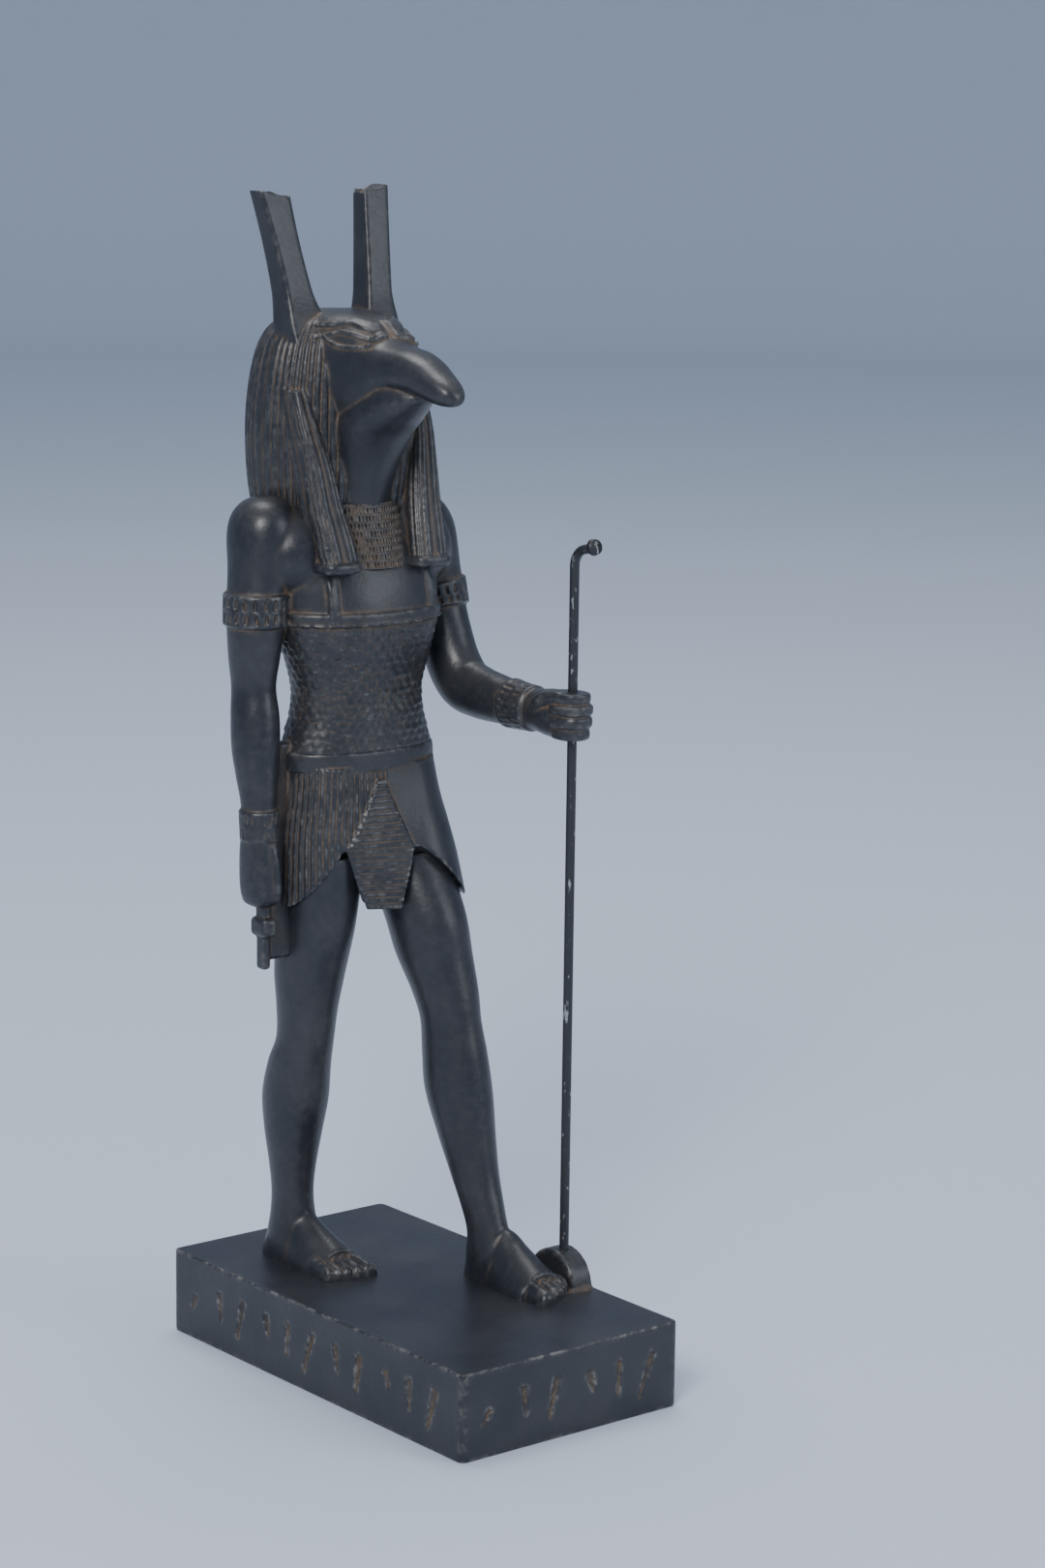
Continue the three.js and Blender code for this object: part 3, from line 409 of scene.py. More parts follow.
def stone_material():
    material = bpy.data.materials.new("dark cast stone")
    material.use_nodes = True
    tree = material.node_tree
    shader = tree.nodes["Principled BSDF"]
    coords = tree.nodes.new("ShaderNodeTexCoord").outputs["Object"]

    def mask(name):
        node = tree.nodes.new("ShaderNodeAttribute")
        node.attribute_name = name
        return node.outputs["Fac"]

    broad = noise(tree, coords, 60, 4)
    fine = noise(tree, coords, 900, 4)
    slate = blend(tree, ramp(tree, broad, 0.3, 0.7), (0.016, 0.018, 0.024), (0.030, 0.031, 0.036))
    hollows = calc(tree, "ADD", mask("hollow_near"), calc(tree, "MULTIPLY", mask("hollow_wide"), 0.8))
    dust = calc(tree, "ADD", calc(tree, "MULTIPLY", hollows, 0.85), mask("dust"))
    dust = calc(tree, "MULTIPLY", dust, ramp(tree, noise(tree, coords, 220, 5), 0.25, 0.62))
    brown = blend(tree, ramp(tree, fine, 0.3, 0.7), (0.075, 0.050, 0.031), (0.150, 0.105, 0.068))
    colour = blend(tree, dust, slate, brown)
    rubbed = calc(tree, "MULTIPLY", mask("ridge_near"), ramp(tree, noise(tree, coords, 500, 4), 0.42, 0.7))
    colour = blend(tree, calc(tree, "MULTIPLY", rubbed, 0.75), colour, (0.22, 0.205, 0.19))
    tree.links.new(colour, shader.inputs["Base Color"])
    rough = calc(tree, "ADD", calc(tree, "MULTIPLY", dust, 0.35), calc(tree, "MULTIPLY", fine, 0.12))
    tree.links.new(calc(tree, "ADD", rough, 0.30), shader.inputs["Roughness"])
    relief = tree.nodes.new("ShaderNodeBump")
    relief.inputs["Strength"].default_value = 0.35
    relief.inputs["Distance"].default_value = 0.0002
    tree.links.new(fine, relief.inputs["Height"])
    tree.links.new(relief.outputs["Normal"], shader.inputs["Normal"])
    return material


def rod_material():
    material = bpy.data.materials.new("painted rod")
    material.use_nodes = True
    tree = material.node_tree
    shader = tree.nodes["Principled BSDF"]
    coords = tree.nodes.new("ShaderNodeTexCoord").outputs["Object"]
    chips = ramp(tree, noise(tree, coords, 700, 5, stretch=(1, 1, 0.35)), 0.62, 0.66)
    colour = blend(tree, chips, (0.020, 0.021, 0.026), (0.42, 0.41, 0.40))
    tree.links.new(colour, shader.inputs["Base Color"])
    tree.links.new(chips, shader.inputs["Metallic"])
    shader.inputs["Roughness"].default_value = 0.42
    return material


# Plinth
def plinth(stone):
    low = (-base["width"] / 2, -base["length"] / 2, 0)
    high = (base["width"] / 2, base["length"] / 2, base["height"])
    slab = bmesh.new()
    bmesh.ops.create_cube(slab, size=1)
    bmesh.ops.scale(slab, verts=slab.verts, vec=Vector(high) - Vector(low))
    bmesh.ops.translate(slab, verts=slab.verts, vec=(Vector(low) + Vector(high)) / 2)
    upright = [e for e in slab.edges if abs(e.verts[0].co.z - e.verts[1].co.z) > 1]
    bevel = dict(segments=5, profile=0.5, affect="EDGES", material=-1)
    bmesh.ops.bevel(slab, geom=upright, offset=base["corner"] * 0.6, **bevel)
    whole = Skin("plinth", [slab, foot_block()], 0.42)
    whole.soften(1, 3)
    whole.push(carved_strokes(whole.points))
    whole.masks["dust"] = np.zeros(len(whole.points))
    whole.wear()
    return whole.finish(stone, "dark_cast_stone", 190000)


def foot_block():
    """The half-round block that the staff stands in."""
    bm = bmesh.new()
    place = Matrix.Translation((0, block["y"], base["height"])) @ Matrix.Rotation(math.pi / 2, 4, "Y")
    bmesh.ops.create_cone(
        bm, cap_ends=True, segments=72, radius1=block["radius"], radius2=block["radius"],
        depth=block["x1"] - block["x0"], matrix=place,
    )
    bmesh.ops.translate(bm, verts=bm.verts, vec=((block["x0"] + block["x1"]) / 2, 0, 0))
    cut = dict(plane_co=(0, 0, base["height"] - 2), plane_no=(0, 0, -1), clear_outer=True)
    bmesh.ops.bisect_plane(bm, geom=bm.verts[:] + bm.edges[:] + bm.faces[:], **cut)
    bmesh.ops.holes_fill(bm, edges=bm.edges, sides=0)
    return bm


def stroke_depth(along_face, height, length, count):
    """Depth of a row of shallow strokes, which go round in a fixed order, on a face of the base."""
    depth = np.zeros(len(along_face))
    for k in range(count):
        turn = (k * 0.618) % 1
        tall = 4.5 + 8 * ((k * 0.382) % 1)
        tilt = (turn - 0.5) * 0.9
        wide = 0.8 + 0.5 * ((k * 0.27) % 1)
        at = (k + 0.5 + 0.3 * (turn - 0.5)) * (length / count) - length / 2
        u = along_face - at
        v = height - (base["height"] * 0.52 + (turn - 0.5) * 3)
        x = u * math.cos(tilt) + v * math.sin(tilt)
        y = -u * math.sin(tilt) + v * math.cos(tilt)
        taper = wide * (0.7 + 0.3 * y / (tall / 2))
        inside = np.minimum(taper - np.abs(x), tall / 2 - np.abs(y))
        depth = np.maximum(depth, 0.6 * smoothstep(-0.15, 0.5, inside))
    return depth


def carved_strokes(points):
    x, y, z = points.T
    front = smoothstep(-base["length"] / 2 + 1.2, -base["length"] / 2 + 0.6, y)
    right = smoothstep(-base["width"] / 2 + 1.2, -base["width"] / 2 + 0.6, x)
    amount = front * stroke_depth(x, z, base["width"] - 8, 6)
    return -(amount + right * stroke_depth(-y, z, base["length"] - 12, 11))


# Legs and feet
def foot(place):
    sole = base["height"] - 0.6

    def rings(stations, power):
        def surface(turn, way):
            at = stations[0][0] + (stations[-1][0] - stations[0][0]) * way
            shift, half_width, top = along(stations, at)
            x, up, _, _ = oval(TURN * turn, half_width, top - sole, power)
            across = place["x"] + foot_turn * at + place["big_toe"] * shift
            return np.stack([across + x, place["y"] - at, sole + np.maximum(up, 0)], 1)

        return surface

    skins = [skin(48, 60, rings(foot_sections, 1.9))]
    for shift, half_width, straight in toes:
        reach = straight - place["slant"] * (toes[0][0] - shift)
        stations = [
            (reach - 9, shift * 0.85, half_width, sole + 5.2),
            (reach - 3, shift, half_width, sole + 4.4),
            (reach - 0.7, shift, half_width, sole + 3.6),
            (reach, shift, half_width * 0.75, sole + 2.6),
        ]
        skins.append(skin(24, 20, rings(stations, 2.3)))
    return skins


def legs(stone):
    skins = [level_skin(rear_leg_sections, 72, 160), level_skin(front_leg_sections, 72, 160)]
    whole = Skin("legs", [*skins, *foot(right_foot), *foot(left_foot)], 0.32)
    whole.soften(1, 3)
    z = whole.points[:, 2]
    whole.soften(smoothstep(27, 30, z), 12)
    whole.masks["dust"] = np.zeros(len(z))
    whole.wear()
    return whole.finish(stone, "dark_cast_stone", 160000)


# Kilt
kilt_levels = np.linspace(116, 153, 38)
kilt_turns = 720


def kilt_table():
    """Rings of the cloth over both thighs, evenly spaced round, at many heights."""
    angle = np.linspace(0, TURN, 721)
    c, s = np.cos(angle), np.sin(angle)
    rings = []
    for z in kilt_levels:
        touches = []
        for sections in (kilt_over_front_thigh, kilt_over_rear_thigh):
            cx, cy, a, b = along(sections, [z])[:, 0]
            reach = np.hypot(a * c, b * s)
            x, y = cx + a * a * c / reach, cy + b * b * s / reach
            touches.append((x, y, x * c + y * s))
        first = touches[0][2] > touches[1][2]
        x = np.where(first, touches[0][0], touches[1][0])
        y = np.where(first, touches[0][1], touches[1][1])
        length = np.r_[0, np.cumsum(np.hypot(np.diff(x), np.diff(y)))]
        even = np.linspace(0, length[-1], kilt_turns + 1)
        rings.append((np.interp(even, length, x), np.interp(even, length, y)))
    return np.array(rings)


kilt_rings = kilt_table()


def kilt_ring(turn, z):
    """Point on the cloth and the way out from it, at a turn from 0 to 1 and a height."""
    level = np.interp(z, kilt_levels, np.arange(len(kilt_levels)))
    k = np.minimum(level.astype(int), len(kilt_levels) - 2)
    t = level - k

    def at(turn):
        place = np.mod(turn, 1) * kilt_turns
        i = np.minimum(place.astype(int), kilt_turns - 1)
        s = place - i
        both = [kilt_rings[k + n, :, i] * (1 - s)[:, None] + kilt_rings[k + n, :, i + 1] * s[:, None] for n in (0, 1)]
        return (both[0] * (1 - t)[:, None] + both[1] * t[:, None]).T

    x, y = at(turn)
    ahead, behind = at(turn + 0.004), at(turn - 0.004)
    run = (ahead - behind) / np.linalg.norm(ahead - behind, axis=0)
    return x, y, run[1], -run[0]


kilt_columns = np.linspace(-24, 24, 193)


def kilt_front_table():
    fronts = []
    for x, y in kilt_rings:
        fore = y < 30
        order = np.argsort(x[fore])
        fronts.append(np.interp(kilt_columns, x[fore][order], y[fore][order]))
    return np.array(fronts)


kilt_fronts = kilt_front_table()


def kilt_front(x, z):
    """Depth of the kilt's front at a place across and a height."""
    level = np.clip(np.interp(z, kilt_levels, np.arange(len(kilt_levels))), 0, len(kilt_levels) - 1.001)
    column = np.clip(np.interp(x, kilt_columns, np.arange(len(kilt_columns))), 0, len(kilt_columns) - 1.001)
    k, i = level.astype(int), column.astype(int)
    t, s = level - k, column - i
    near = kilt_fronts[k, i] * (1 - s) + kilt_fronts[k, i + 1] * s
    far = kilt_fronts[k + 1, i] * (1 - s) + kilt_fronts[k + 1, i + 1] * s
    return near * (1 - t) + far * t


def hem_at(x, y):
    climb = np.where(x < 0, (22.5 + x) / 10.5, (22 - x) / 14)
    return hem_height + np.where(y > 28, 0, 15 * np.clip(climb, 0, 1))


def kilt_skin():
    pleats = 74

    def place(turn, way):
        x, y, _, _ = kilt_ring(turn, np.full(len(turn), 125.0))
        hem = hem_at(x, y)
        z = hem + (belt["bottom"] + 1.2 - hem) * way
        x, y, out_x, out_y = kilt_ring(turn, z)
        pleated = smoothstep(1.5, 0.5, x)
        push = -0.55 * pleated * np.abs(np.sin(math.pi * pleats * turn)) ** 3
        return np.stack([x + out_x * push, y + out_y * push, z], 1)

    return skin(740, 110, place)


def apron_edges(z):
    upper = np.clip((z - apron["corner"]) / (apron["top"] - apron["corner"]), 0, 1)
    lower = np.clip((apron["corner"] - z) / (apron["corner"] - apron["bottom"]), 0, 1)
    left = -12.2 + 9.6 * upper + 4.7 * lower
    right = 5.2 - 5.8 * upper - 4.8 * lower
    return left, right


def apron_skin():
    def place(turn, way):
        z = apron["bottom"] + (apron["top"] - apron["bottom"]) * way
        left, right = apron_edges(z)
        across = np.clip(turn / 0.7, 0, 1)
        back = turn > 0.7
        across = np.where(back, 1 - (turn - 0.7) / 0.3, across)
        x = left + (right - left) * across
        rib = np.abs(np.sin(math.pi * apron["ribs"] * way)) ** 0.7
        edge = smoothstep(0, 0.06, across) * smoothstep(1, 0.94, across)
        front = kilt_front(x, z) - (0.25 + 0.65 * rib) * (0.4 + 0.6 * edge)
        return np.stack([x, np.where(back, kilt_front((left + right) / 2, z) + 3, front), z], 1)

    return skin(120, 300, place)


def kilt(stone):
    girdle = [(z, 0, 28.3, a, b) for z, a, b in (
        (belt["bottom"], 21.3, 12.3), (belt["bottom"] + 0.5, 21.9, 12.9),
        (belt["top"] - 0.5, 21.6, 12.9), (belt["top"], 20.6, 12.2))]
    whole = Skin("kilt", [kilt_skin(), apron_skin(), level_skin(girdle, 160, 24, 2.2)], 0.3)
    whole.soften(1, 2)
    whole.masks["dust"] = np.zeros(len(whole.points))
    whole.wear()
    return whole.finish(stone, "dark_cast_stone", 190000)


# Trunk and arms
def share_round(power, half_width, half_depth):
    """Share of the way round an oval for each angle, by length."""
    angle = np.linspace(0, TURN, 1441)
    x, y, _, _ = oval(angle, half_width, half_depth, power)
    length = np.r_[0, np.cumsum(np.hypot(np.diff(x), np.diff(y)))]
    return lambda at: np.interp(np.mod(at, TURN), angle, length / length[-1])


def scale_relief(share, z):
    """Rows of overlapping scales with round lower edges, each a little different."""
    rows, count, step = 16, 34, 0.62
    pitch = (dress_band["bottom"] - belt["top"]) / rows
    down = (dress_band["bottom"] + 0.4 - z) / pitch
    height = np.zeros(len(z))
    for back in (1, 0):
        row = np.floor(down) - back
        place = share * count + 0.5 * np.mod(row, 2) + 0.12 * (chance(row, 3) - 0.5)
        column = np.floor(place)
        across = place - column - 0.5
        drop = down - row + 0.22 * (chance(column, row) - 0.5)
        width = 0.47 + 0.03 * chance(column, row, 2)
        edge = 1.28 - 0.42 * np.abs(across / width) ** 3
        lip = smoothstep(edge + 0.04, edge - 0.06, drop)
        side = smoothstep(width + 0.02, width - 0.05, np.abs(across))
        body = step * (0.35 + 0.65 * drop / 1.3) * (1 - 0.25 * (across / width) ** 2)
        thick = 0.8 + 0.4 * chance(column, row, 5)
        height = np.maximum(height, body * thick * lip * side)
    return height


def trunk_skin():
    share = share_round(2.2, 20.5, 12.6)

    def relief(angle, z):
        scales = (z > belt["top"] - 0.5) & (z < dress_band["bottom"] + 0.5)
        push = np.where(scales, scale_relief(share(angle), z), 0)
        band = smoothstep(dress_band["bottom"] - 0.1, dress_band["bottom"] + 0.3, z)
        band *= smoothstep(dress_band["top"] + 0.2, dress_band["top"] - 0.3, z)
        return push + band * dress_band["proud"]

    return level_skin(torso_sections, 560, 420, 2.2, relief)


def yoke_skin():
    way = [
        (0, -25.5, 33.2, 208.5, 9.4, 8.2), (1, -18, 31.8, 206, 12.2, 12.4), (2, 0, 33.4, 205.5, 12.8, 12.2),
        (3, 18, 31.8, 205.5, 11.8, 12.4), (4, 25, 33.0, 206.5, 9.0, 8.2),
    ]
    return bent_skin(way, 60, 60, (0, 0, 1))


def chest_front(x, z):
    _, cy, a, b = along(torso_sections, z)
    c = np.minimum(np.abs(x) / a, 0.98)
    return cy - b * (1 - c**2.2) ** (1 / 2.2)


def strap_skin(side):
    def place(turn, way):
        z = dress_band["bottom"] + 1 + (206 - dress_band["bottom"] - 1) * way
        x, y, _, _ = oval(TURN * turn, 1.6, 1, 4)
        x = side * (14.75 + x)
        return np.stack([x, chest_front(np.full(len(z), 14.75), z) + 1.1 + y * 2, z], 1)

    return skin(40, 60, place)


def band_relief(bands, slots):
    """Bracelets: a raised band with pale rims and two rows of slots."""
    def relief(angle, at):
        push = np.zeros(len(at))
        for low, high, proud in bands:
            inside = (at - low) / (high - low)
            rim = smoothstep(-0.02, 0.05, inside) * smoothstep(1.02, 0.95, inside)
            row = np.mod(inside * 2.4 - 0.2, 1)
            rows = (inside > 0.09) & (inside < 0.91)
            tall = smoothstep(0.10, 0.2, row) * smoothstep(0.90, 0.8, row)
            wide = smoothstep(0.35, 0.6, np.cos(angle * slots + 1.3 * np.floor(inside * 2.4 - 0.2)))
            push += rim * proud * (1 - 0.85 * rows * tall * wide)
        return push

    return relief


def right_fist():
    sections = [
        (118.0, -28.7, 28.8, 1.8, 2.4), (118.7, -28.7, 28.8, 3.2, 3.9), (119.8, -28.7, 28.7, 4.0, 4.8),
        (123, -28.8, 28.6, 4.5, 5.4), (128, -28.8, 28.7, 4.6, 5.5), (132, -28.8, 28.9, 4.5, 5.2),
        (136, -28.8, 29.0, 4.3, 4.7),
    ]
    thumb = [
        (0, -28.0, 25.4, 133.5, 1.7, 1.7), (1, -27.8, 24.6, 129.0, 1.8, 1.8),
        (2, -27.4, 24.4, 123.5, 1.8, 1.8), (3, -27.2, 24.7, 119.8, 1.2, 1.2),
        (3.3, -27.2, 24.8, 119.0, 0.4, 0.4),
    ]
    return [level_skin(sections, 60, 50, 2.6), bent_skin(thumb, 24, 40)]


def held_sign():
    return [
        rounded_block((-29.8, 26.2, 114), (-26.8, 30, 121), 1.0),
        rounded_block((-30.4, 24.7, 110.4), (-26.2, 31.5, 115.4), 1.3),
        rounded_block((-29.6, 26.4, 102), (-27, 29.9, 112), 0.9),
        rounded_block((-27.6, 27.5, 104), (-17, 31.5, 159), 1.2),
    ]


def left_fist():
    fingers, bottom, tall = 4, 161.6, 3.05
    way = []
    for k in range(fingers):
        grow = 1 - 0.1 * abs(k - 1.6)
        z = bottom + k * tall
        for rise, push in ((0.05, -0.8), (0.45, -0.15), (1.5, 0), (2.6, -0.15)):
            way.append((z + rise, rod["x"] - 0.5, rod["y"] + 0.2, 5.1 * grow + push, 6.0 * grow + push))
    palm = [
        (0, 29.9, -9.0, 167.2, 4.8, 5.3), (1, 30.0, -13.0, 167.2, 5.1, 6.0),
        (2, 30.1, -17.0, 167.2, 5.0, 6.0), (3, 30.2, -20.0, 167.2, 4.4, 5.3),
    ]
    thumb = [
        (0, 26.8, -10.5, 168.6, 2.5, 2.3), (1, 26.4, -14.2, 170.9, 2.4, 2.1),
        (2, 26.7, -18.2, 172.0, 2.1, 1.9), (3, 27.4, -22.0, 171.8, 1.8, 1.6),
        (4, 28.1, -24.0, 171.2, 1.0, 1.0), (4.2, 28.3, -24.4, 171.1, 0.4, 0.4),
    ]
    return [level_skin(way, 64, 90, 2.5), bent_skin(palm, 40, 30), bent_skin(thumb, 28, 40)]


def trunk_and_arms(stone):
    skins = [
        trunk_skin(), yoke_skin(), strap_skin(-1), strap_skin(1),
        level_skin(right_arm_sections, 200, 420, 2.0, band_relief(right_bands, 20)),
        bent_skin(left_arm_sections, 200, 420, relief=band_relief(left_bands, 20)),
        *right_fist(), *held_sign(), *left_fist(),
    ]
    whole = Skin("trunk_and_arms", skins, 0.3)
    whole.soften(1, 2)
    x, _, z = whole.points.T
    shoulder = smoothstep(197.5, 200, z) * smoothstep(12, 15, np.abs(x))
    whole.soften(shoulder, 60)
    whole.masks["dust"] = np.zeros(len(z))
    whole.wear()
    return whole.finish(stone, "dark_cast_stone", 190000)


# Collar
def collar(stone):
    rows, half_width = 8.5, 9.6
    low, high = 202, 217.8

    def place(turn, way):
        z = low + (high - low) * way
        x = half_width * np.clip(2 * turn / 0.8 - 1, -1, 1)
        back = turn > 0.8
        x = np.where(back, half_width * (1 - 2 * (turn - 0.8) / 0.2), x)
        row = np.mod(way * rows, 1)
        index = np.floor(way * rows)
        beads = np.cos(TURN * (x / 0.92 + 0.31 * index + 0.2 * chance(index, np.floor(x * 0.9))))
        slot = smoothstep(0.0, 0.45, beads) * smoothstep(0.16, 0.26, row) * smoothstep(0.92, 0.8, row)
        front = 16.9 + 5.6 * (z - low) / 15.6 + 0.035 * x * x - 1.35 + 0.75 * slot
        return np.stack([x, np.where(back, 30, front), z], 1)

    whole = Skin("collar", [skin(420, 260, place)], 0.17)
    whole.soften(1, 1)
    whole.masks["dust"] = np.full(len(whole.points), 0.45)
    whole.wear(5, 24)
    return whole.finish(stone, "dark_cast_stone", 60000)


# Head, hair and ears
def to_line(points, line):
    """Shortest distance from flat points to a line through a few flat points."""
    nearest = np.full(len(points), 1e9)
    for a, b in zip(np.array(line[:-1], float), np.array(line[1:], float)):
        run = b - a
        t = np.clip((points - a) @ run / (run @ run), 0, 1)
        nearest = np.minimum(nearest, np.linalg.norm(points - a - t[:, None] * run, axis=1))
    return nearest


def head_skin():
    first, last = head_sections[0][0], head_sections[-1][0]

    def place(turn, way):
        y = first + (last - first) * way**1.4
        cz, a, b, power = along(head_sections, y)
        x, up, _, _ = oval(TURN * turn, a, b, power)
        return np.stack([x, y, cz + up], 1)

    return skin(120, 160, place)


def strand_relief(strands, groove):
    def relief(angle, z):
        return -groove * np.abs(np.cos(angle * strands / 2)) ** 6

    return relief


def lappet_skin(side):
    stations = [(z, side * x, y, a, b) for z, x, y, a, b in lappet_sections]
    bar = [
        (z, side * 13.8, 18.2, a, b)
        for z, a, b in ((201.7, 4.6, 4.5), (202.1, 5.4, 5.3), (203.2, 5.65, 5.55), (204.2, 5.4, 5.3), (204.6, 4.8, 4.7))
    ]
    return [level_skin(stations, 160, 60, 3.4, strand_relief(16, 0.6)), level_skin(bar, 60, 14, 3.6)]


ears = [
    dict(side=-1, top=293.6, half=4.6, tip_x=15.9, waist=0.7),
    dict(side=1, top=294.8, half=3.9, tip_x=15.0, waist=0.1),
]


def ear_skin(side, top, half, tip_x, waist):
    """A tall square post that leans back and apart, flared at the root and bevelled on top."""
    root, root_x, root_front, lean, bevel = 262, 11.4, 33.2, 7.6, 3.4

    def place(turn, way):
        up = -6 + (top - root + 6) * way
        t = up / (top - root)
        flare = 1.6 * smoothstep(8, -6, up)
        cx = root_x + (tip_x - root_x) * t
        width = half + flare - waist * np.sin(math.pi * np.clip(t, 0, 1))
        depth = (8.2 - 2.8 * t + flare) / 2
        x, y, _, _ = oval(TURN * turn, width, depth, 7)
        front = root_front + lean * t - flare
        inner = smoothstep(-0.1, -1, x / width)
        z = root + up - np.where(way > 0.985, bevel * inner, 0)
        return np.stack([side * (cx + x), front + depth + y, z], 1)

    return skin(72, 90, place)


def carve_face(whole):
    """Brow and the upper and lower rims of the eye, drawn on the side of the head by their depth and height."""
    x, y, z = whole.points.T
    inside = (y > -13) & (y < 33) & (z > 224) & (z < 266)
    chosen = np.flatnonzero(inside)
    cz, a, b, power = along(head_sections, y[chosen])
    on_skin = (np.abs(x[chosen]) / a) ** power + (np.abs(z[chosen] - cz) / b) ** power
    chosen = chosen[(on_skin < 1.3) & (np.abs(x[chosen]) > 1.2)]
    side = whole.points[chosen][:, 1:]
    push = np.zeros(len(x))
    brow = [(29.6, 261.4), (25, 261.7), (22, 262.5), (19.7, 262), (15.6, 260.4), (14.1, 258.2)]
    upper = [(28.7, 258.6), (25.5, 259.2), (23.2, 260.2), (18.6, 259.7), (15, 258.5), (14.0, 256.9)]
    lower = [(26.2, 258.6), (23, 257.1), (19.7, 256.6), (16.8, 256.7), (14.0, 256.9)]
    amount = 0.75 * smoothstep(0.75, 0.35, to_line(side, brow))
    amount += 0.5 * smoothstep(0.6, 0.25, to_line(side, upper))
    amount += 0.45 * smoothstep(0.55, 0.2, to_line(side, lower))
    push[chosen] = amount
    whole.push(push)


def head_and_hair(stone):
    skins = [
        head_skin(), level_skin(neck_sections, 90, 80),
        level_skin(wig_sections, 520, 160, 2.7, strand_relief(52, 0.7)),
        *lappet_skin(-1), *lappet_skin(1), *[ear_skin(**ear) for ear in ears],
    ]
    whole = Skin("head_and_hair", skins, 0.26)
    whole.soften(1, 2)
    carve_face(whole)
    whole.masks["dust"] = np.zeros(len(whole.points))
    whole.wear()
    return whole.finish(stone, "dark_cast_stone", 195000)


# Staff
def staff(paint):
    bend_end, radius = rod["bend"], rod["bend_radius"]
    line = [(rod["y"], rod["foot"]), (rod["y"], rod["bend_start"])]
    for turn in np.linspace(0, bend_end, 13)[1:]:
        line.append((rod["y"] - radius * (1 - math.cos(turn)), rod["bend_start"] + radius * math.sin(turn)))
    end_y, end_z = line[-1]
    run = (-math.sin(bend_end), math.cos(bend_end))
    line.append((end_y + run[0] * rod_head["reach"], end_z + run[1] * rod_head["reach"]))
    bm = bmesh.new()
    bmesh.ops.create_circle(bm, cap_ends=False, segments=24, radius=rod["radius"], matrix=Matrix.Translation((rod["x"], *line[0])))
    ring = bm.edges[:]
    places = list(np.linspace(line[0][1], line[1][1], 40)[1:])
    path = [(rod["y"], z) for z in places] + line[2:]
    at, heading = line[0], 0.0
    for k, point in enumerate(path):
        new = bmesh.ops.extrude_edge_only(bm, edges=ring)["geom"]
        ring = [g for g in new if isinstance(g, bmesh.types.BMEdge)]
        verts = [g for g in new if isinstance(g, bmesh.types.BMVert)]
        bmesh.ops.translate(bm, verts=verts, vec=(0, point[0] - at[0], point[1] - at[1]))
        ahead = path[min(k + 1, len(path) - 1)]
        tangent = math.atan2(-(ahead[0] - at[0]), ahead[1] - at[1])
        centre = Matrix.Translation((rod["x"], *point))
        turned = centre @ Matrix.Rotation(tangent - heading, 4, "X") @ centre.inverted()
        bmesh.ops.transform(bm, matrix=turned, verts=verts)
        heading, at = tangent, point
    bmesh.ops.holes_fill(bm, edges=bm.edges, sides=0)
    tip = Matrix.Translation((rod["x"], *path[-1])) @ Matrix.Rotation(bend_end, 4, "X")
    bmesh.ops.create_cone(
        bm, cap_ends=True, segments=36, radius1=rod_head["radius"], radius2=rod_head["radius"] * 0.9,
        depth=rod_head["thickness"], matrix=tip,
    )
    bmesh.ops.recalc_face_normals(bm, faces=bm.faces)
    bmesh.ops.scale(bm, verts=bm.verts, vec=(MM, MM, MM))
    mesh = bpy.data.meshes.new("staff")
    bm.to_mesh(mesh)
    obj = bpy.data.objects.new("painted_staff", mesh)
    bpy.context.scene.collection.objects.link(obj)
    return finish_piece(obj, paint, "painted_rod", "staff")


# Camera, floor and light
def camera():
    azimuth, elevation, roll = (math.radians(v) for v in (-38.971, 10.885, 0.767))
    distance, aside, above = 972.51, 26.370, 147.678
    back = Vector((
        math.sin(azimuth) * math.cos(elevation), -math.cos(azimuth) * math.cos(elevation), math.sin(elevation),
    ))
    right = (-back).cross(Vector((0, 0, 1))).normalized()
    up = right.cross(-back)
    right, up = (
        right * math.cos(roll) + up * math.sin(roll),
        up * math.cos(roll) - right * math.sin(roll),
    )
    data = bpy.data.cameras.new("camera")
    data.sensor_fit, data.sensor_height, data.lens = "VERTICAL", 36, 88.0
    data.clip_start, data.clip_end = 0.05, 20
    obj = bpy.data.objects.new("camera", data)
    place = (back * distance + right * aside + up * above) * MM
    obj.matrix_world = Matrix.Translation(place) @ Matrix((right, up, back)).transposed().to_4x4()
    bpy.context.scene.collection.objects.link(obj)
    bpy.context.scene.camera = obj


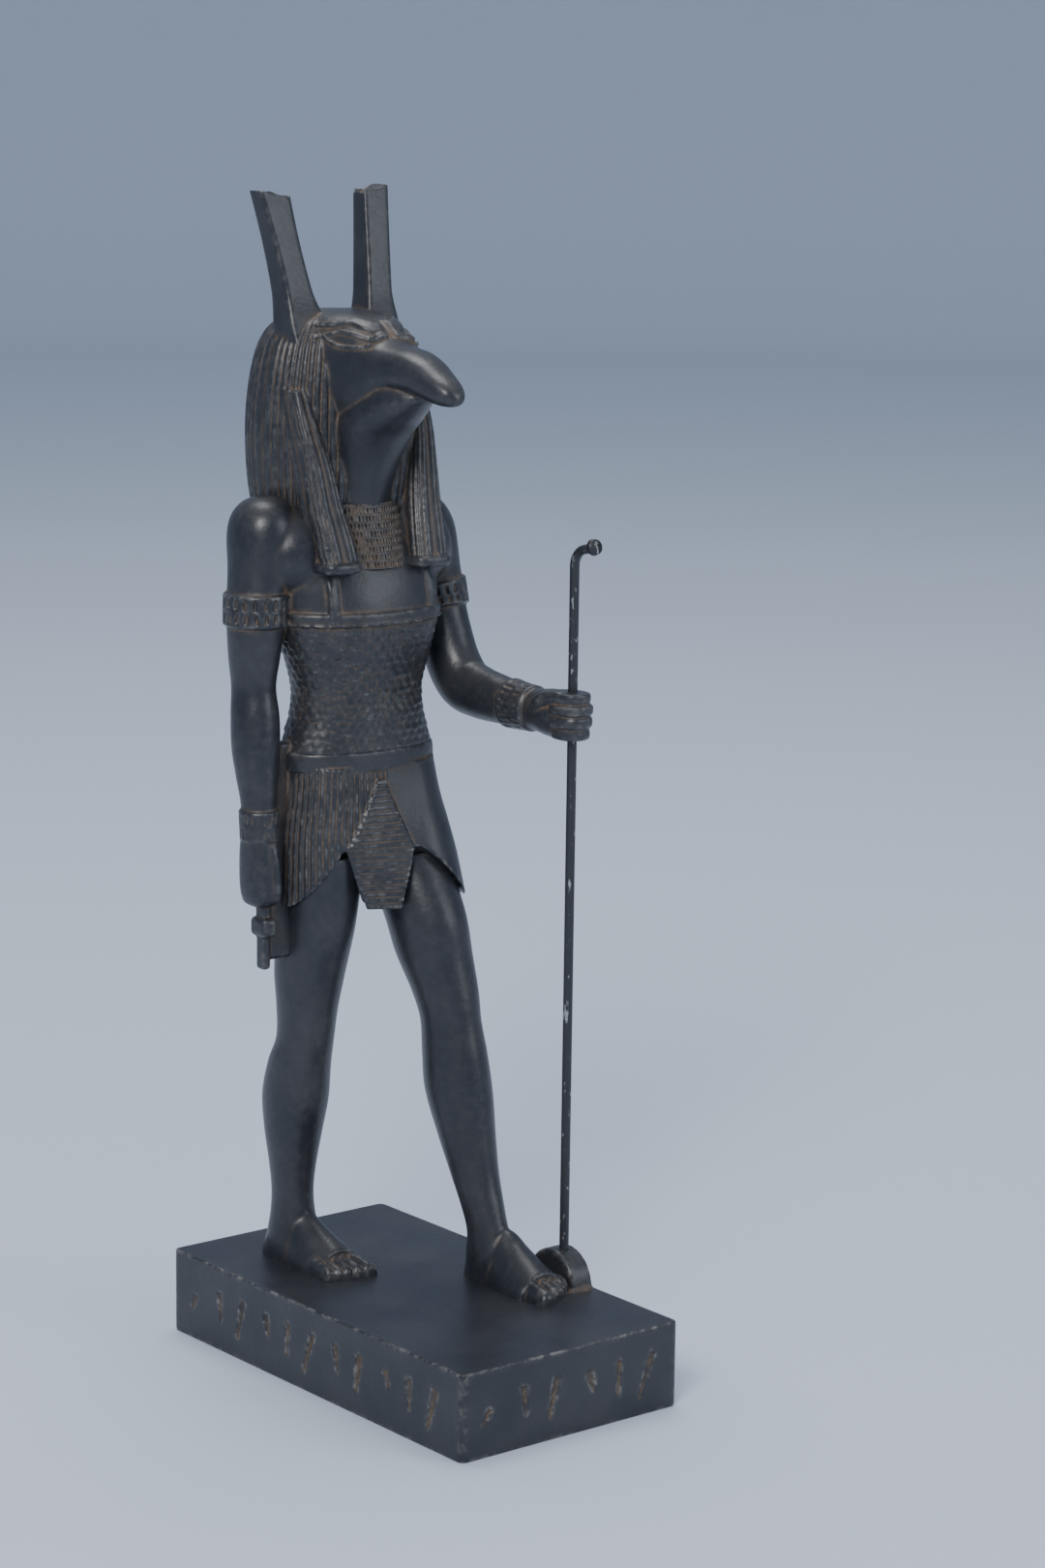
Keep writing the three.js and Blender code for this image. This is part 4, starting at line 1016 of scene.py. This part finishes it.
def floor():
    """A pale floor that curves up into a backdrop far behind."""
    bm = bmesh.new()
    bmesh.ops.create_circle(bm, cap_ends=True, segments=96, radius=3.2)
    rim = [e for e in bm.edges if e.is_boundary]
    for lift, spread in ((0.05, 1.06), (0.2, 1.05), (0.6, 1.05), (2.4, 1.02)):
        new = bmesh.ops.extrude_edge_only(bm, edges=rim)["geom"]
        rim = [g for g in new if isinstance(g, bmesh.types.BMEdge)]
        verts = [g for g in new if isinstance(g, bmesh.types.BMVert)]
        bmesh.ops.scale(bm, verts=verts, vec=(spread, spread, 1))
        bmesh.ops.translate(bm, verts=verts, vec=(0, 0, lift))
    mesh = bpy.data.meshes.new("floor")
    bm.to_mesh(mesh)
    mesh.shade_smooth()
    material = bpy.data.materials.new("pale floor")
    material.use_nodes = True
    shader = material.node_tree.nodes["Principled BSDF"]
    shader.inputs["Base Color"].default_value = (0.56, 0.63, 0.74, 1)
    shader.inputs["Roughness"].default_value = 0.75
    mesh.materials.append(material)
    obj = bpy.data.objects.new("floor", mesh)
    bpy.context.scene.collection.objects.link(obj)


def area_light(name, place, aim, size, power, colour=(1, 1, 1)):
    data = bpy.data.lights.new(name, "AREA")
    data.shape, data.size, data.energy, data.color = "DISK", size, power, colour
    obj = bpy.data.objects.new(name, data)
    obj.matrix_world = Matrix.Translation(place) @ (Vector(aim) - Vector(place)).to_track_quat("-Z", "Y").to_matrix().to_4x4()
    bpy.context.scene.collection.objects.link(obj)


def lights():
    middle = (0, 0, 0.15)
    area_light("key", (-1.3, -0.9, 1.35), middle, 0.7, 26, (1.0, 0.98, 0.95))
    area_light("fill", (0.9, -1.5, 0.8), middle, 1.0, 9, (0.92, 0.96, 1.0))
    area_light("top", (0.2, 0.4, 1.7), middle, 1.0, 14)
    world = bpy.data.worlds.new("studio")
    world.use_nodes = True
    world.node_tree.nodes["Background"].inputs["Color"].default_value = (0.75, 0.83, 0.95, 1)
    world.node_tree.nodes["Background"].inputs["Strength"].default_value = 0.55
    bpy.context.scene.world = world


camera()
floor()
lights()
stone_finish = stone_material()
plinth(stone_finish)
legs(stone_finish)
kilt(stone_finish)
trunk_and_arms(stone_finish)
collar(stone_finish)
head_and_hair(stone_finish)
staff(rod_material())
